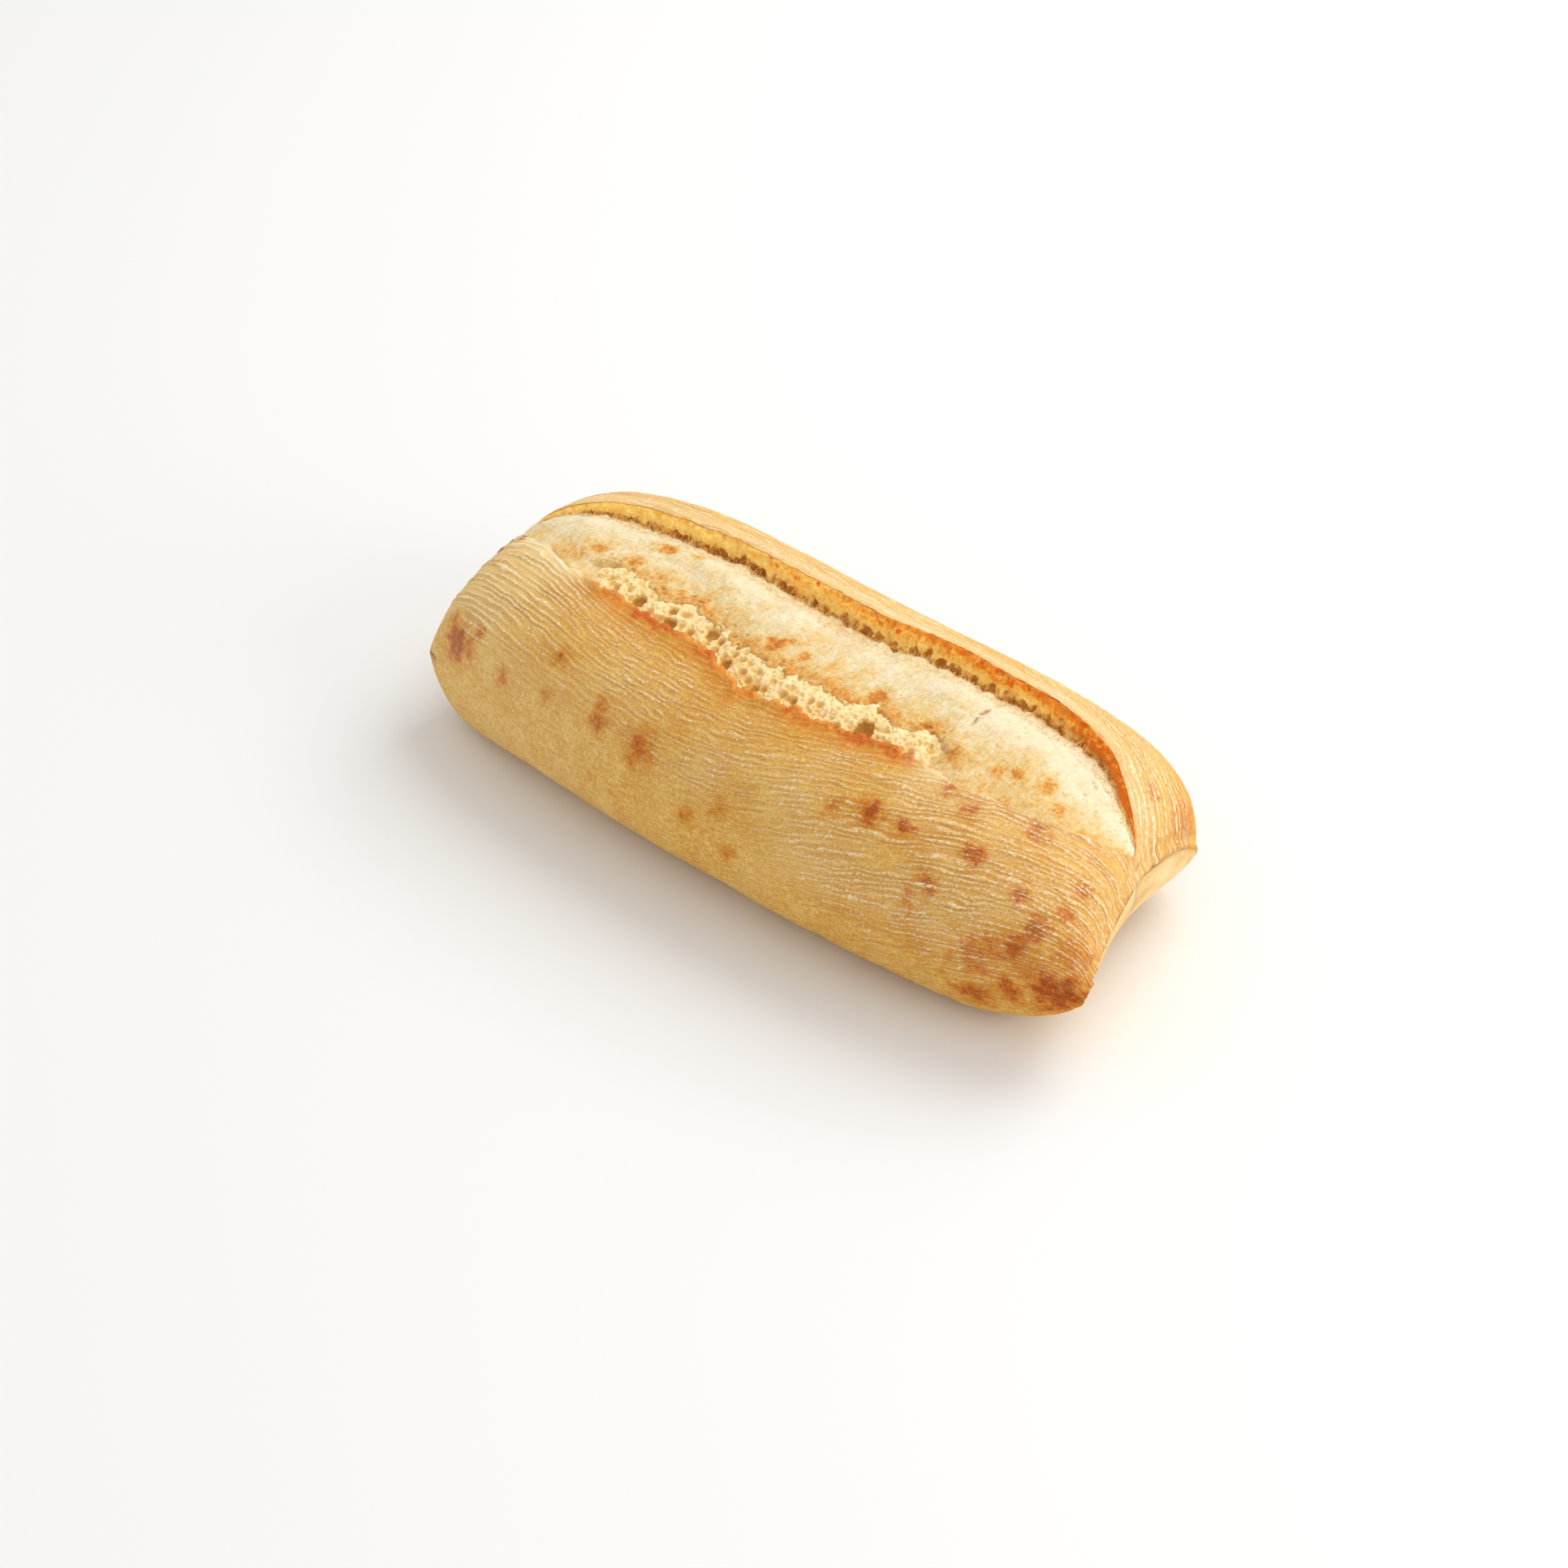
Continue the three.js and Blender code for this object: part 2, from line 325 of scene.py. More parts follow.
def end_distance(points):
    """How far each point lies from the nearer end of its row, over the surface."""
    steps = distance(np.diff(points, axis=0))
    nothing = np.zeros((1, points.shape[1]))
    left = np.concatenate((nothing, np.cumsum(steps, axis=0)))
    return np.minimum(left, left[-1:] - left)


def seam_pleats(points, size):
    """Noise along the seam at each end, in pleats of about a size."""
    along = np.stack((points[..., 1], 0 * points[..., 1], np.sign(points[..., 0]) * 9), -1)
    return grain(along + 15, size, 1, 1)


def pinch_relief(points, q):
    """The seam at each end: a puckered bead with a shallow gutter behind it."""
    apart = end_distance(points)
    bead = BEAD_HEIGHT * bell(apart, 0.8, 1.3) * (1 + 1.1 * seam_pleats(points, BEAD_PLEATS))
    gutter = GUTTER_DEPTH * bell(apart, 4.2, 1.7)
    pleats = PLEAT_HEIGHT * seam_pleats(points, SKIN_PLEATS) * fade(apart, 6)
    return (bead - gutter + pleats) * smooth(1.0, 0.9, np.abs(q))


def seam_notches(points):
    """The browned notches between the pleats of a seam, 0 to 1."""
    return unit(-2.2 * seam_pleats(points, BEAD_PLEATS)) * fade(end_distance(points), 2.5)


def wrinkle_count(along, across, pitch, bend, curl=0.7):
    """Wrinkles counted up the skin: each whole number is the crest of one, and they wander."""
    spot = np.stack((along, across, 0 * along + bend), -1)
    wander = 0.9 * grain(spot, 30, 8, 1) + curl * grain(spot + 50, 7, 2.8, 1)
    return across / pitch + wander


def wrinkle_strength(along, across, length, bend):
    """How strong the wrinkles are, 0 to 1: each breaks off after about a length and starts again."""
    spot = np.stack((along, across, 0 * along + bend), -1)
    return unit(0.55 + grain(spot + 90, length, 2.6, 1))


def crest(count):
    return 0.5 + 0.5 * np.cos(2 * math.pi * count)


def seen_at(points, normals, pixel):
    """The station and row of a skin that show at a pixel of the picture."""
    facing = (normals @ towards_camera) > FACING
    apart = distance(photo_pixels(points) - pixel)
    nearest = np.where(facing, apart - 0.02 * (points @ towards_camera), np.inf)
    return np.unravel_index(np.argmin(nearest), nearest.shape)


def spots_seen(points, normals, spots):
    """The middles of spots that are named by the pixel of the picture where each shows."""
    return [(points[seen_at(points, normals, spot[:2])], *spot[2:]) for spot in spots]


def brown_spots(points, middles, start):
    """How brown each point is, 0 to 1, from spots with a wide soft rim and a darker middle."""
    ragged = lumps(points, (0.5, 3.8, start), (0.32, 1.5, start + 5))
    brown = np.zeros(points.shape[:2])
    for middle, radius, strength in middles:
        reach = distance(points - middle) / radius + ragged
        soft_spot = 0.55 * smooth(1.5, 0.1, reach) + 0.45 * smooth(0.75, 0.0, reach)
        brown = np.maximum(brown, strength * soft_spot)
    return brown


def pale_under_and_painted_light(points, normals, z, below, steep):
    """How pale each point below the widest line is, partly a paler bake and partly painted light: mottled,
    and only on faces that look along the loaf.
    """
    mottle = 0.62 + lumps(points, (0.6, 8, 90), (0.3, 2.5, 95))
    return below * smooth(4, 14, z) * smooth(*steep, np.abs(normals[..., 0])) * mottle


def weld(fill):
    """Welds the active mesh, fills its open ends if asked, and turns its faces outward."""
    bpy.ops.object.mode_set(mode="EDIT")
    bpy.ops.mesh.select_all(action="SELECT")
    bpy.ops.mesh.remove_doubles(threshold=WELD_REACH)
    bpy.ops.mesh.select_all(action="SELECT")
    if fill:
        bpy.ops.mesh.fill_holes(sides=0)
        bpy.ops.mesh.select_all(action="SELECT")
    bpy.ops.mesh.normals_make_consistent(inside=False)
    bpy.ops.object.mode_set(mode="OBJECT")
    bpy.ops.object.shade_smooth()


def wrap_grid(name, points, attributes, skin=None, seam=0):
    """A grid primitive bent round the rings of points, welded along its seam and closed at its ends.

    Each attribute is a number for each point, and skin is the place of each point on its flattened skin.
    The welded seam takes its values from the first row of the grid, or from the row that seam names.
    """
    count, rows = points.shape[:2]
    bpy.ops.object.select_all(action="DESELECT")
    bpy.ops.mesh.primitive_grid_add(x_subdivisions=count - 1, y_subdivisions=rows - 1, size=2)
    piece = bpy.context.object
    piece.name = name
    mesh = piece.data
    mesh.name = name
    mesh.uv_layers[0].name = "OFBake"
    flat = np.empty(len(mesh.vertices) * 3)
    mesh.vertices.foreach_get("co", flat)
    flat = flat.reshape(-1, 3)
    station = np.rint((flat[:, 0] + 1) / 2 * (count - 1)).astype(int)
    row = np.rint((flat[:, 1] + 1) / 2 * (rows - 1)).astype(int)
    mesh.vertices.foreach_set("co", (points[station, row] * MM).ravel())
    row = np.where((row == 0) | (row == rows - 1), seam, row)
    for key, values in attributes.items():
        layer = mesh.attributes.new(key, "FLOAT", "POINT")
        layer.data.foreach_set("value", values[station, row].astype(np.float32))
    if skin is not None:
        layer = mesh.attributes.new("skin", "FLOAT_VECTOR", "POINT")
        layer.data.foreach_set("vector", skin[station, row].astype(np.float32).ravel())
    weld(fill=True)
    return piece


WELD_REACH = 1e-6
NEAR_STATIONS = 480
FLAT_ROWS = 4
NEAR_CORNER_ROWS = 24
NEAR_ROWS = 164
NEAR_RAGS = ((0.030, 5.5, 0), (0.028, 2.4, 40), (0.008, 1.1, 70))
LIP_CURL = 1.2
FLUSH_LIP_IN = np.array((1.5, 3.0, 4.5, 5.0))
FLUSH_LIP_DOWN = np.array((0.1, 0.4, 1.0, 2.5))
TORN_LIP_IN = np.array((0.3, 0.25, -0.6, -2.0))
TORN_LIP_DOWN = np.array((0.5, 1.3, 2.4, 4.0))
BED_DEPTH = 8.0
LEFT_PITCH = 2.5
RIGHT_PITCH = 1.9
PITCH_HEIGHT = 25
SHOULDER_ALONG = (-70, -110)
SHOULDER_DOWN = (58, 36)
RIGHT_ALONG = (20, 100)
WRINKLES_DOWN = (60, 22)
LOW_SIDE = (34, 14)
LIP_CURL_REACH = 2.4
LIP_TAN_REACH = 12
LIP_BROWN_REACH = 4.2

t = stations(NEAR_STATIONS)
near_edge = near_lip(t) + fray(t, *NEAR_RAGS) * torn(t)
dense_q = np.linspace(-1, 0.5, 3000)
dense_over = run_length(place(np.zeros(1), dense_q, top_height(np.zeros(1), dense_q)))


def over_side(q):
    """Millimetres over the skin from the widest line of the near side, at the middle of the loaf."""
    return np.interp(q, dense_q, dense_over)


lip_middle = near_lip(np.zeros(1))
even_q = np.interp(share_rows(NEAR_ROWS, 1) * over_side(lip_middle), dense_over, dense_q)
climb_share = (even_q + 1) / (lip_middle + 1)
wide = opening(t)
flat_q = -FLAT_ACROSS * share_rows(FLAT_ROWS) + 0 * t
turn = math.pi / 2 * (1 - share_rows(NEAR_CORNER_ROWS, 1))
corner_q = -(FLAT_ACROSS + (1 - FLAT_ACROSS) * np.cos(turn)) + 0 * t
side_q = -1 + (near_edge + 1) * climb_share
edge_in = mix(FLUSH_LIP_IN, TORN_LIP_IN, torn(t)) / MIDDLE_HALF_WIDTH
edge_down = mix(FLUSH_LIP_DOWN, TORN_LIP_DOWN, torn(t))
edge_q = near_edge + edge_in * wide
bed_share = np.array((0.0, 0.25, 0.5))[None, :]
bed_q = mix(near_lip(t) - 0.05 * wide, groove_foot(t), bed_share)
points, q, row = ring_points(t, (
    (flat_q, underside_height(t, flat_q)),
    (corner_q, underside_height(t, corner_q)),
    (side_q, top_height(t, side_q)),
    (edge_q, top_height(t, near_edge) - edge_down * wide),
    (bed_q, crumb_height(t, bed_q, bed_share) - BED_DEPTH * wide),
    (0 * t, underside_height(t, 0 * t)),
))
side_first = FLAT_ROWS + NEAR_CORNER_ROWS
side_last = side_first + NEAR_ROWS
on_skin = row <= side_last
x = points[..., 0]
z = points[..., 2]
normals = grid_normals(points, side_last - 20)

# The wrinkles: where they lie on the skin, how far apart, how sharp and how strong.
girth = run_length(points[NEAR_STATIONS // 2])
below_side = np.minimum(girth - girth[side_first], 0)
over = np.where(row <= side_first, below_side[None, :], over_side(q))
from_lip = np.where(on_skin, over_side(near_edge) - over, 0)
slope = -0.05 + 0.33 * smooth(-35, 30, t * HALF_LENGTH)
across = over - np.cumsum(np.gradient(t[:, 0])[:, None] * HALF_LENGTH * slope, axis=0)
shoulder = smooth(*SHOULDER_ALONG, x) * smooth(*SHOULDER_DOWN, from_lip)
right = smooth(*RIGHT_ALONG, x)
zone = smooth(*WRINKLES_DOWN, from_lip - 46 * right)
pitch = mix(RIGHT_PITCH, LEFT_PITCH, smooth(-50, -115, x))
keen = mix(0.3, 1, smooth(-55, -100, x))
count = wrinkle_count(x, across - PITCH_HEIGHT, pitch, 0, mix(0.8, 0.35, keen))
short_wrinkles = 0.9 * wrinkle_strength(x, across, 6, 30)
long_wrinkles = wrinkle_strength(x, across, 20, 0)
strength = mix(short_wrinkles, long_wrinkles, smooth(-40, -90, x))
strength = mix(strength, wrinkle_strength(x, across, 13, 60), smooth(15, 75, x))
fold = strength * np.maximum(zone, shoulder)
relief = crest(count) ** mix(1.6, 3.5, keen) * fold * (0.24 + 0.4 * keen + 0.16 * right)
relief += lumps(points, (0.06, 1.3, 0), (0.35, 26, 0), (0.2, 9, 60))
lip_near = torn(t) * fade(from_lip, LIP_CURL_REACH)
relief += lip_near * (LIP_CURL + 0.4 * grain(points + 11, 1.6))
relief += pinch_relief(points, q) * (row > side_first)
notches = seam_notches(points) * (row > side_first) * on_skin
relief = relief * on_skin * smooth(0.0, 4.0, z) * smooth(0, 3, row)
points = points + normals * relief[..., None]

# Browned spots as the picture shows them: pixel across, pixel down, radius in millimetres, strength.
NEAR_SPOTS = (
    (563, 788, 9, 0.95), (591, 777, 3.5, 0.7), (692, 810, 4, 0.65), (618, 834, 4, 0.6),
    (671, 858, 3.5, 0.5), (510, 804, 3.5, 0.7), (615, 674, 4.5, 1.1), (631, 666, 4.5, 1.1),
    (646, 662, 3.5, 0.9), (582, 714, 2, 0.5), (741, 870, 4, 0.5), (737, 890, 5, 0.55),
    (788, 921, 7.5, 0.6), (843, 1006, 4, 0.5), (887, 998, 4, 0.4), (897, 1048, 4, 0.4),
    (1027, 994, 4.5, 0.6), (1072, 999, 5.5, 1), (1112, 1022, 5, 0.85), (1171, 969, 5, 0.7),
    (1196, 998, 4.5, 0.8), (1200, 1053, 5.5, 0.85), (1139, 1087, 5, 0.75), (1119, 1107, 5, 0.6),
    (1280, 1022, 6, 0.75), (1258, 1104, 5, 0.7), (1333, 1098, 5, 0.7), (1319, 1131, 5, 0.7),
    (1280, 1147, 6, 0.8), (1251, 1170, 8, 0.85), (1202, 1225, 7, 0.8), (1245, 1221, 6, 0.8),
    (1304, 1225, 12, 1), (1320, 1180, 13, 0.5), (1270, 1195, 14, 0.45), (1200, 1178, 13, 0.55),
    (1120, 1150, 12, 0.2), (576, 796, 6, 0.6),
)
toast = brown_spots(points, spots_seen(points, normals, NEAR_SPOTS), 0)
on_side = row > side_first
# Browner on the right, and darker still towards the bottom of the right part.
right_darkening = (0.11 + 0.3 * smooth(*LOW_SIDE, z)) * right * on_side * (0.9 + 0.8 * grain(points + 70, 12))
lip_tan = 0.24 * fade(from_lip, LIP_TAN_REACH) * torn(t) * on_side
edge_tan = 0.3 * bell(from_lip, 0, 5) * smooth(0.45, 0.6, t) * on_side * (0.8 + 0.8 * grain(points + 75, 6))
for tan in (right_darkening, lip_tan, edge_tan, 0.6 * notches):
    toast = np.maximum(toast, tan)
toast = toast - 0.13 * shoulder * (1 - toast)

# What else colours the skin: the browned lip, the places that stayed pale, the end faces, painted paler
# partly as painted light, and the flour.
lip = fade(from_lip, LIP_BROWN_REACH) * torn(t) * (0.9 + 1.1 * grain(points + 12, 8))
lip = unit(np.where(on_skin, lip, torn(t)))
paling = fade(from_lip - 1.5, 3.5) * (1 - torn(t)) * (1 - 0.75 * smooth(0.45, 0.6, t))
plain_low = smooth(-10, -60, x) * smooth(26, 44, from_lip) * (1 - shoulder)
under_face = pale_under_and_painted_light(points, normals, z, row < side_first, (0.5, 0.85))
paling = (paling + 0.1 * shoulder) * (1 - toast) + 0.9 * under_face
paling = paling + 0.2 * plain_low * (row > side_first - 12)
paling = np.where(on_skin, paling, 1 - torn(t))
low_right = right * smooth(*LOW_SIDE, z)
flour = 0.3 + 0.6 * zone + 0.8 * shoulder + 0.7 * grain(points + 33, 16)
flour = flour - 0.5 * plain_low - 0.9 * low_right - 0.8 * toast
flour = (flour + 0.45 * right * smooth(20, 44, z)) * mix(1, mix(0.2, 1, smooth(1, 8, from_lip)), torn(t))
flour = np.clip(flour, 0.1, 1.3)
near_crust = wrap_grid(
    "near_crust", points,
    dict(count=count, fold=fold, keen=keen, toast=toast, lip=lip, flour=flour, paling=paling),
    skin=np.stack((x, across, 0 * x), -1),
)


class Wire:
    """A shader socket: arithmetic on it adds Math nodes, and node() adds any other kind."""

    def __init__(self, tree, socket=None):
        self.tree = tree
        self.socket = socket

    def node(self, kind, settings=None, inputs=None, output=0):
        made = self.tree.nodes.new("ShaderNode" + kind)
        for key, value in (settings or {}).items():
            if key == "stops":
                for place_on, _ in value[1:-1]:
                    made.color_ramp.elements.new(place_on)
                for stop, (place_on, colour) in zip(made.color_ramp.elements, value):
                    stop.position = place_on
                    stop.color = colour
            else:
                setattr(made, key, value)
        for key, value in (inputs or {}).items():
            if isinstance(value, Wire):
                self.tree.links.new(value.socket, made.inputs[key])
            else:
                made.inputs[key].default_value = value
        return Wire(self.tree, made.outputs[output])

    def maths(self, operation, first, second=0.0):
        return self.node("Math", {"operation": operation}, {0: first, 1: second})

    def __add__(self, other):
        return self.maths("ADD", self, other)

    def __sub__(self, other):
        return self.maths("SUBTRACT", self, other)

    def __rsub__(self, other):
        return self.maths("SUBTRACT", other, self)

    def __mul__(self, other):
        return self.maths("MULTIPLY", self, other)

    __radd__ = __add__
    __rmul__ = __mul__

    def step(self, low, high):
        """A soft step from 0 at low to 1 at high."""
        return self.node("MapRange", {"interpolation_type": "SMOOTHSTEP"},
                         {"Value": self, "From Min": low, "From Max": high})

    def wave(self, sharp):
        """Crests of 1 at whole numbers, narrower as sharp grows."""
        swing = self.maths("COSINE", self * (2 * math.pi)) * 0.5 + 0.5
        return self.maths("POWER", swing, sharp)

    def attribute(self, name, output="Fac"):
        return self.node("Attribute", {"attribute_name": name}, output=output)

    def noise(self, vector, scale, detail=2.0, roughness=0.5):
        """Noise about nought, from a vector and a scale that is one number or one for each axis."""
        if isinstance(scale, tuple):
            vector = self.node("Mapping", None, {"Vector": vector, "Scale": scale})
            scale = 1.0
        inputs = {"Vector": vector, "Scale": scale, "Detail": detail, "Roughness": roughness}
        return self.node("TexNoise", None, inputs) - 0.5

    def blend(self, share, first, second):
        return self.node("Mix", {"data_type": "RGBA"}, {0: share, 6: first, 7: second}, output=2)

    def ramp(self, stops):
        """The colour that a ramp of places and colours has at this value."""
        return self.node("ValToRGB", {"stops": stops}, {"Fac": self})

    def bump(self, strength, distance):
        """A surface raised by this height, which is counted in distances of so many metres."""
        return self.node("Bump", None, {"Strength": strength, "Distance": distance, "Height": self})

    def feed(self, shader, *inputs):
        """Links this to inputs of a shader."""
        for name in inputs:
            self.tree.links.new(self.socket, shader.inputs[name])


def srgb(red, green, blue):
    """A colour as read off a picture, 0 to 255, for a shader."""
    def straight(level):
        level = level / 255
        return level / 12.92 if level <= 0.04045 else ((level + 0.055) / 1.055) ** 2.4
    return (straight(red), straight(green), straight(blue), 1)


def new_material(name, roughness, glow=0.0):
    """A material that may glow, with its wiring, its shader and its coordinates in metres."""
    material = bpy.data.materials.new(name)
    material.use_nodes = True
    shader = material.node_tree.nodes["Principled BSDF"]
    shader.inputs["Roughness"].default_value = roughness
    shader.inputs["Specular IOR Level"].default_value = 0.25
    shader.inputs["Subsurface Weight"].default_value = glow
    shader.inputs["Subsurface Radius"].default_value = (1.0, 0.5, 0.2)
    shader.inputs["Subsurface Scale"].default_value = 1.2 * MM
    wire = Wire(material.node_tree)
    return material, wire, shader, wire.node("TexCoord", output="Object")


CRUST_STOPS = (
    (0.0, srgb(240, 203, 122)), (0.2, srgb(222, 167, 71)), (0.42, srgb(214, 145, 50)),
    (0.7, srgb(203, 102, 30)), (1.0, srgb(166, 70, 16)),
)
VALLEY_TAN_AND_SHADE = srgb(200, 132, 46)
LIP_ORANGE = srgb(230, 142, 54)
LIP_RED = srgb(204, 94, 27)
PALE_CRUST_AND_PAINTED_LIGHT = srgb(250, 222, 170)
FLOUR_WHITE = srgb(255, 238, 194)
SPECK_BROWN = srgb(110, 66, 30)

crust_finish, wire, shader, in_metres = new_material("floured crust", 0.8)
skin_mm = wire.attribute("skin", "Vector")
folded, wrinkles, toasted, on_lip, floured, paled_and_painted_light, sharpness = [
    wire.attribute(name) for name in ("fold", "count", "toast", "lip", "flour", "paling", "keen")
]
sand = wire.noise(in_metres, 3000, 2, 0.6)
motes = wire.noise(in_metres, 800, 3, 0.65)
blotches = wire.noise(in_metres, 85, 4, 0.6)
streaks = wire.noise(skin_mm, (0.22, 1.0, 1.0), 4, 0.65)
flecks = wire.noise(skin_mm, (0.9, 2.2, 1.0), 3, 0.7)
ridge = wrinkles.wave(1.6) * (1 - sharpness) + wrinkles.wave(4.5) * sharpness
rills = (wrinkles * 2.1 + wire.noise(skin_mm, (0.16, 0.4, 1.0)) * 7).wave(1.3)
rill_share = streaks.step(-0.1, 0.2)
browning = toasted * (1.0 + motes * 1.2) + sand * 1.3 + motes * 0.9 + streaks * 0.6 + blotches * 0.5 + 0.15
baked = browning.ramp(CRUST_STOPS)
broken = (flecks + motes).step(-0.18, 0.14)
# The creases between wrinkles and rills are darker: partly browner crust, partly painted shade.
valley_tan_and_shade = ((1 - ridge) * folded * 0.5 + (1 - rills) * rill_share * floured * 0.36) * (1 - paled_and_painted_light * 0.5)
baked = wire.blend(valley_tan_and_shade, baked, VALLEY_TAN_AND_SHADE)
lip_share = (on_lip * (1 + motes * 2 + streaks * 2)).step(0.12, 0.85)
baked = wire.blend(lip_share * 0.75, baked, LIP_ORANGE)
lip_red = (on_lip * (0.6 + blotches * 2.4 + motes)).step(0.36, 0.8)
baked = wire.blend(lip_red * 0.8, baked, LIP_RED)
dust = (ridge * folded * (0.4 + sharpness * 0.8) + rills * rill_share * 0.4) * (0.25 + broken * 1.1)
dust = dust + flecks * 1.9 + sand * 2.0 + streaks * 0.8
dust = (dust + motes * 1.2 + blotches * 0.5 + floured * 0.4).step(0.4, 1.5) * floured.step(0.0, 0.6)
dust = dust * (1 - lip_share * 0.6)
# The pale places are painted paler, and the end faces and the band along the ear are painted paler partly as
# painted light.
baked = wire.blend(paled_and_painted_light * 0.8, baked, PALE_CRUST_AND_PAINTED_LIGHT)
baked = wire.blend(dust * 0.84, baked, FLOUR_WHITE)
specks = wire.node("TexVoronoi", None, {"Vector": in_metres, "Scale": 75.0})
baked = wire.blend((1 - specks.step(0.010, 0.022)) * 0.6, baked, SPECK_BROWN)
bump_height = ridge * folded * 0.4 + rills * rill_share * 0.4 + flecks * 0.4 + sand * 0.45 + motes * 0.5
baked.feed(shader, "Base Color")
bump_height.bump(0.5, 0.6 * MM).feed(shader, "Normal")
near_crust.data.materials.append(crust_finish)
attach(near_crust, "root")
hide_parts("loaf")

# The far crust: the other flap of the skin, from the slash over the back and under to the middle of the base.
# Its torn edge lifted in the oven into a rounded, browned ear above the crumb.
# It is pinched to the near crust at both ends, and meets it under the base.
FAR_STATIONS = 440
FAR_ROWS = 110
FAR_CORNER_ROWS = 30
FAR_PITCH = 3.0
FAR_KEEN = 0.6
EAR_RAGS = ((0.010, 7, 80), (0.010, 2.6, 120), (0.006, 1.2, 150))
RIM_IN = np.array((3.0, 2.0, 1.5, 1.2, 1.0, 0.8, 0.5))
RIM_DOWN = np.array((6.0, 4.0, 2.6, 1.9, 1.3, 0.7, 0.25))


def ear_line(t):
    """The ragged edge of the ear."""
    return far_lip(t) + fray(t, *EAR_RAGS) * opening(t)


t = stations(FAR_STATIONS)
wide = opening(t)
ear_edge = ear_line(t)
ear_top = far_crust_height(t, ear_edge)
bed_share = np.array((0.5, 0.75, 1.0))[None, :]
bed_q = mix(near_lip(t) - 0.05 * wide, groove_foot(t) + 0.06 * wide, bed_share)
rim_swell = np.maximum(0.65, 0.9 + fray(t, (0.5, 6, 180), (0.5, 2.2, 210)))
rim_q = ear_edge + RIM_IN / MIDDLE_HALF_WIDTH * rim_swell * wide
far_share = (1 - share_rows(FAR_ROWS)) ** 1.7
side_q = mix(1, ear_edge, far_share)
turn = math.pi / 2 * share_rows(FAR_CORNER_ROWS, 1)
corner_q = FLAT_ACROSS + (1 - FLAT_ACROSS) * np.cos(turn) + 0 * t
flat_q = FLAT_ACROSS * (1 - share_rows(FLAT_ROWS, 1)) + 0 * t
points, q, row = ring_points(t, (
    (0 * t, underside_height(t, 0 * t)),
    (bed_q, crumb_height(t, bed_q, bed_share) - BED_DEPTH * wide),
    (rim_q, ear_top - RIM_DOWN * rim_swell * wide),
    (side_q, far_crust_height(t, side_q)),
    (corner_q, underside_height(t, corner_q)),
    (flat_q, underside_height(t, flat_q)),
))
rim_first = 1 + bed_share.shape[1]
side_first = rim_first + len(RIM_DOWN)
side_last = side_first + FAR_ROWS
on_skin = row >= side_first
on_rim = (row >= rim_first + 2) & (row < side_first)
x = points[..., 0]
z = points[..., 2]
normals = grid_normals(points, side_first + 10)
girth = run_length(points[FAR_STATIONS // 2])
back = (girth - girth[side_first])[None, :] + 0 * t
right = smooth(50, 115, x)
zone = smooth(60 - 24 * right, 20 - 6 * right, back) * on_skin
count = wrinkle_count(x, back, mix(FAR_PITCH, RIGHT_PITCH, right), 200)
strength = mix(wrinkle_strength(x, back, 14, 240), wrinkle_strength(x, back, 22, 270), right)
fold = zone * np.maximum(0.3, strength)
relief = crest(count) ** 1.6 * fold * (0.26 + 0.14 * right)
relief += lumps(points, (0.05, 1.3, 8), (0.35, 26, 0), (0.2, 9, 60))
relief += pinch_relief(points, q) * (row <= side_last)
notches = seam_notches(points) * (row <= side_last) * on_skin
relief = relief * on_skin + 0.2 * grain(points + 21, 1.7) * on_rim * wide
relief = relief * smooth(0.0, 4.0, z) * smooth(0, 3, q.shape[1] - 1 - row)
points = points + normals * relief[..., None]

# Browned spots of the far crust: first those that the picture shows, then how many lie out of its sight.
FAR_SPOTS = ((1420, 978, 4.5, 0.75), (1467, 978, 4, 0.7), (1460, 1015, 13, 0.45), (1200, 790, 3, 0.3))
HIDDEN_SPOTS = 26
HIDDEN_RADIUS = (4, 7.5)
HIDDEN_BROWN = (0.45, 0.9)
draw = np.random.default_rng(7)
hidden = np.argwhere(on_skin & ((normals @ towards_camera) < -FACING) & (z > 6))
middles = spots_seen(points, normals, FAR_SPOTS)
middles += [(points[tuple(hidden[index])], draw.uniform(*HIDDEN_RADIUS), draw.uniform(*HIDDEN_BROWN))
            for index in draw.choice(len(hidden), HIDDEN_SPOTS, replace=False)]
toast = brown_spots(points, middles, 300)
on_side = row <= side_last
right_darkening = 0.1 * right * on_side * smooth(8, 26, z) * (0.9 + 0.6 * grain(points + 70, 12))
toast = np.maximum(toast, np.maximum(right_darkening, 0.5 * notches))
rim_brown = (1.6 * grain(points + 24, 3.0) - 0.35) * (on_rim | (row < side_first + 5)) * on_side
toast = np.maximum(toast, np.clip(rim_brown * (smooth(-0.7, 0.3, t) + smooth(-0.88, -0.95, t)), 0, 0.95))
lip = np.where(on_skin, fade(back, 1.8), 1.0) * (0.5 + 0.5 * grain(points + 51, 6))
lip = unit(lip)
under_face = pale_under_and_painted_light(points, normals, z, row > side_last, (0.4, 0.75))
flour = zone * (1.05 + 0.5 * grain(points + 33, 16)) + 0.3 * right + 1.3 * under_face
flour = np.clip(flour, 0.12, 1.6)
# The far crust is painted pale in a band just behind the ear's edge, partly flour and partly a painted
# highlight, and on its end faces partly as painted light.
paling = (0.1 + 0.45 * bell(back, 4, 3)) * smooth(45, 5, back) * smooth(155, 80, x) * on_skin + under_face
far_crust = wrap_grid(
    "far_crust", points,
    dict(count=count, fold=fold, keen=0 * x + FAR_KEEN, toast=toast, lip=lip, flour=flour, paling=paling),
    skin=np.stack((x, back, 0 * x + 60), -1),
    seam=-1,
)
far_crust.data.materials.append(crust_finish)
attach(far_crust, "root")
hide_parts("loaf")

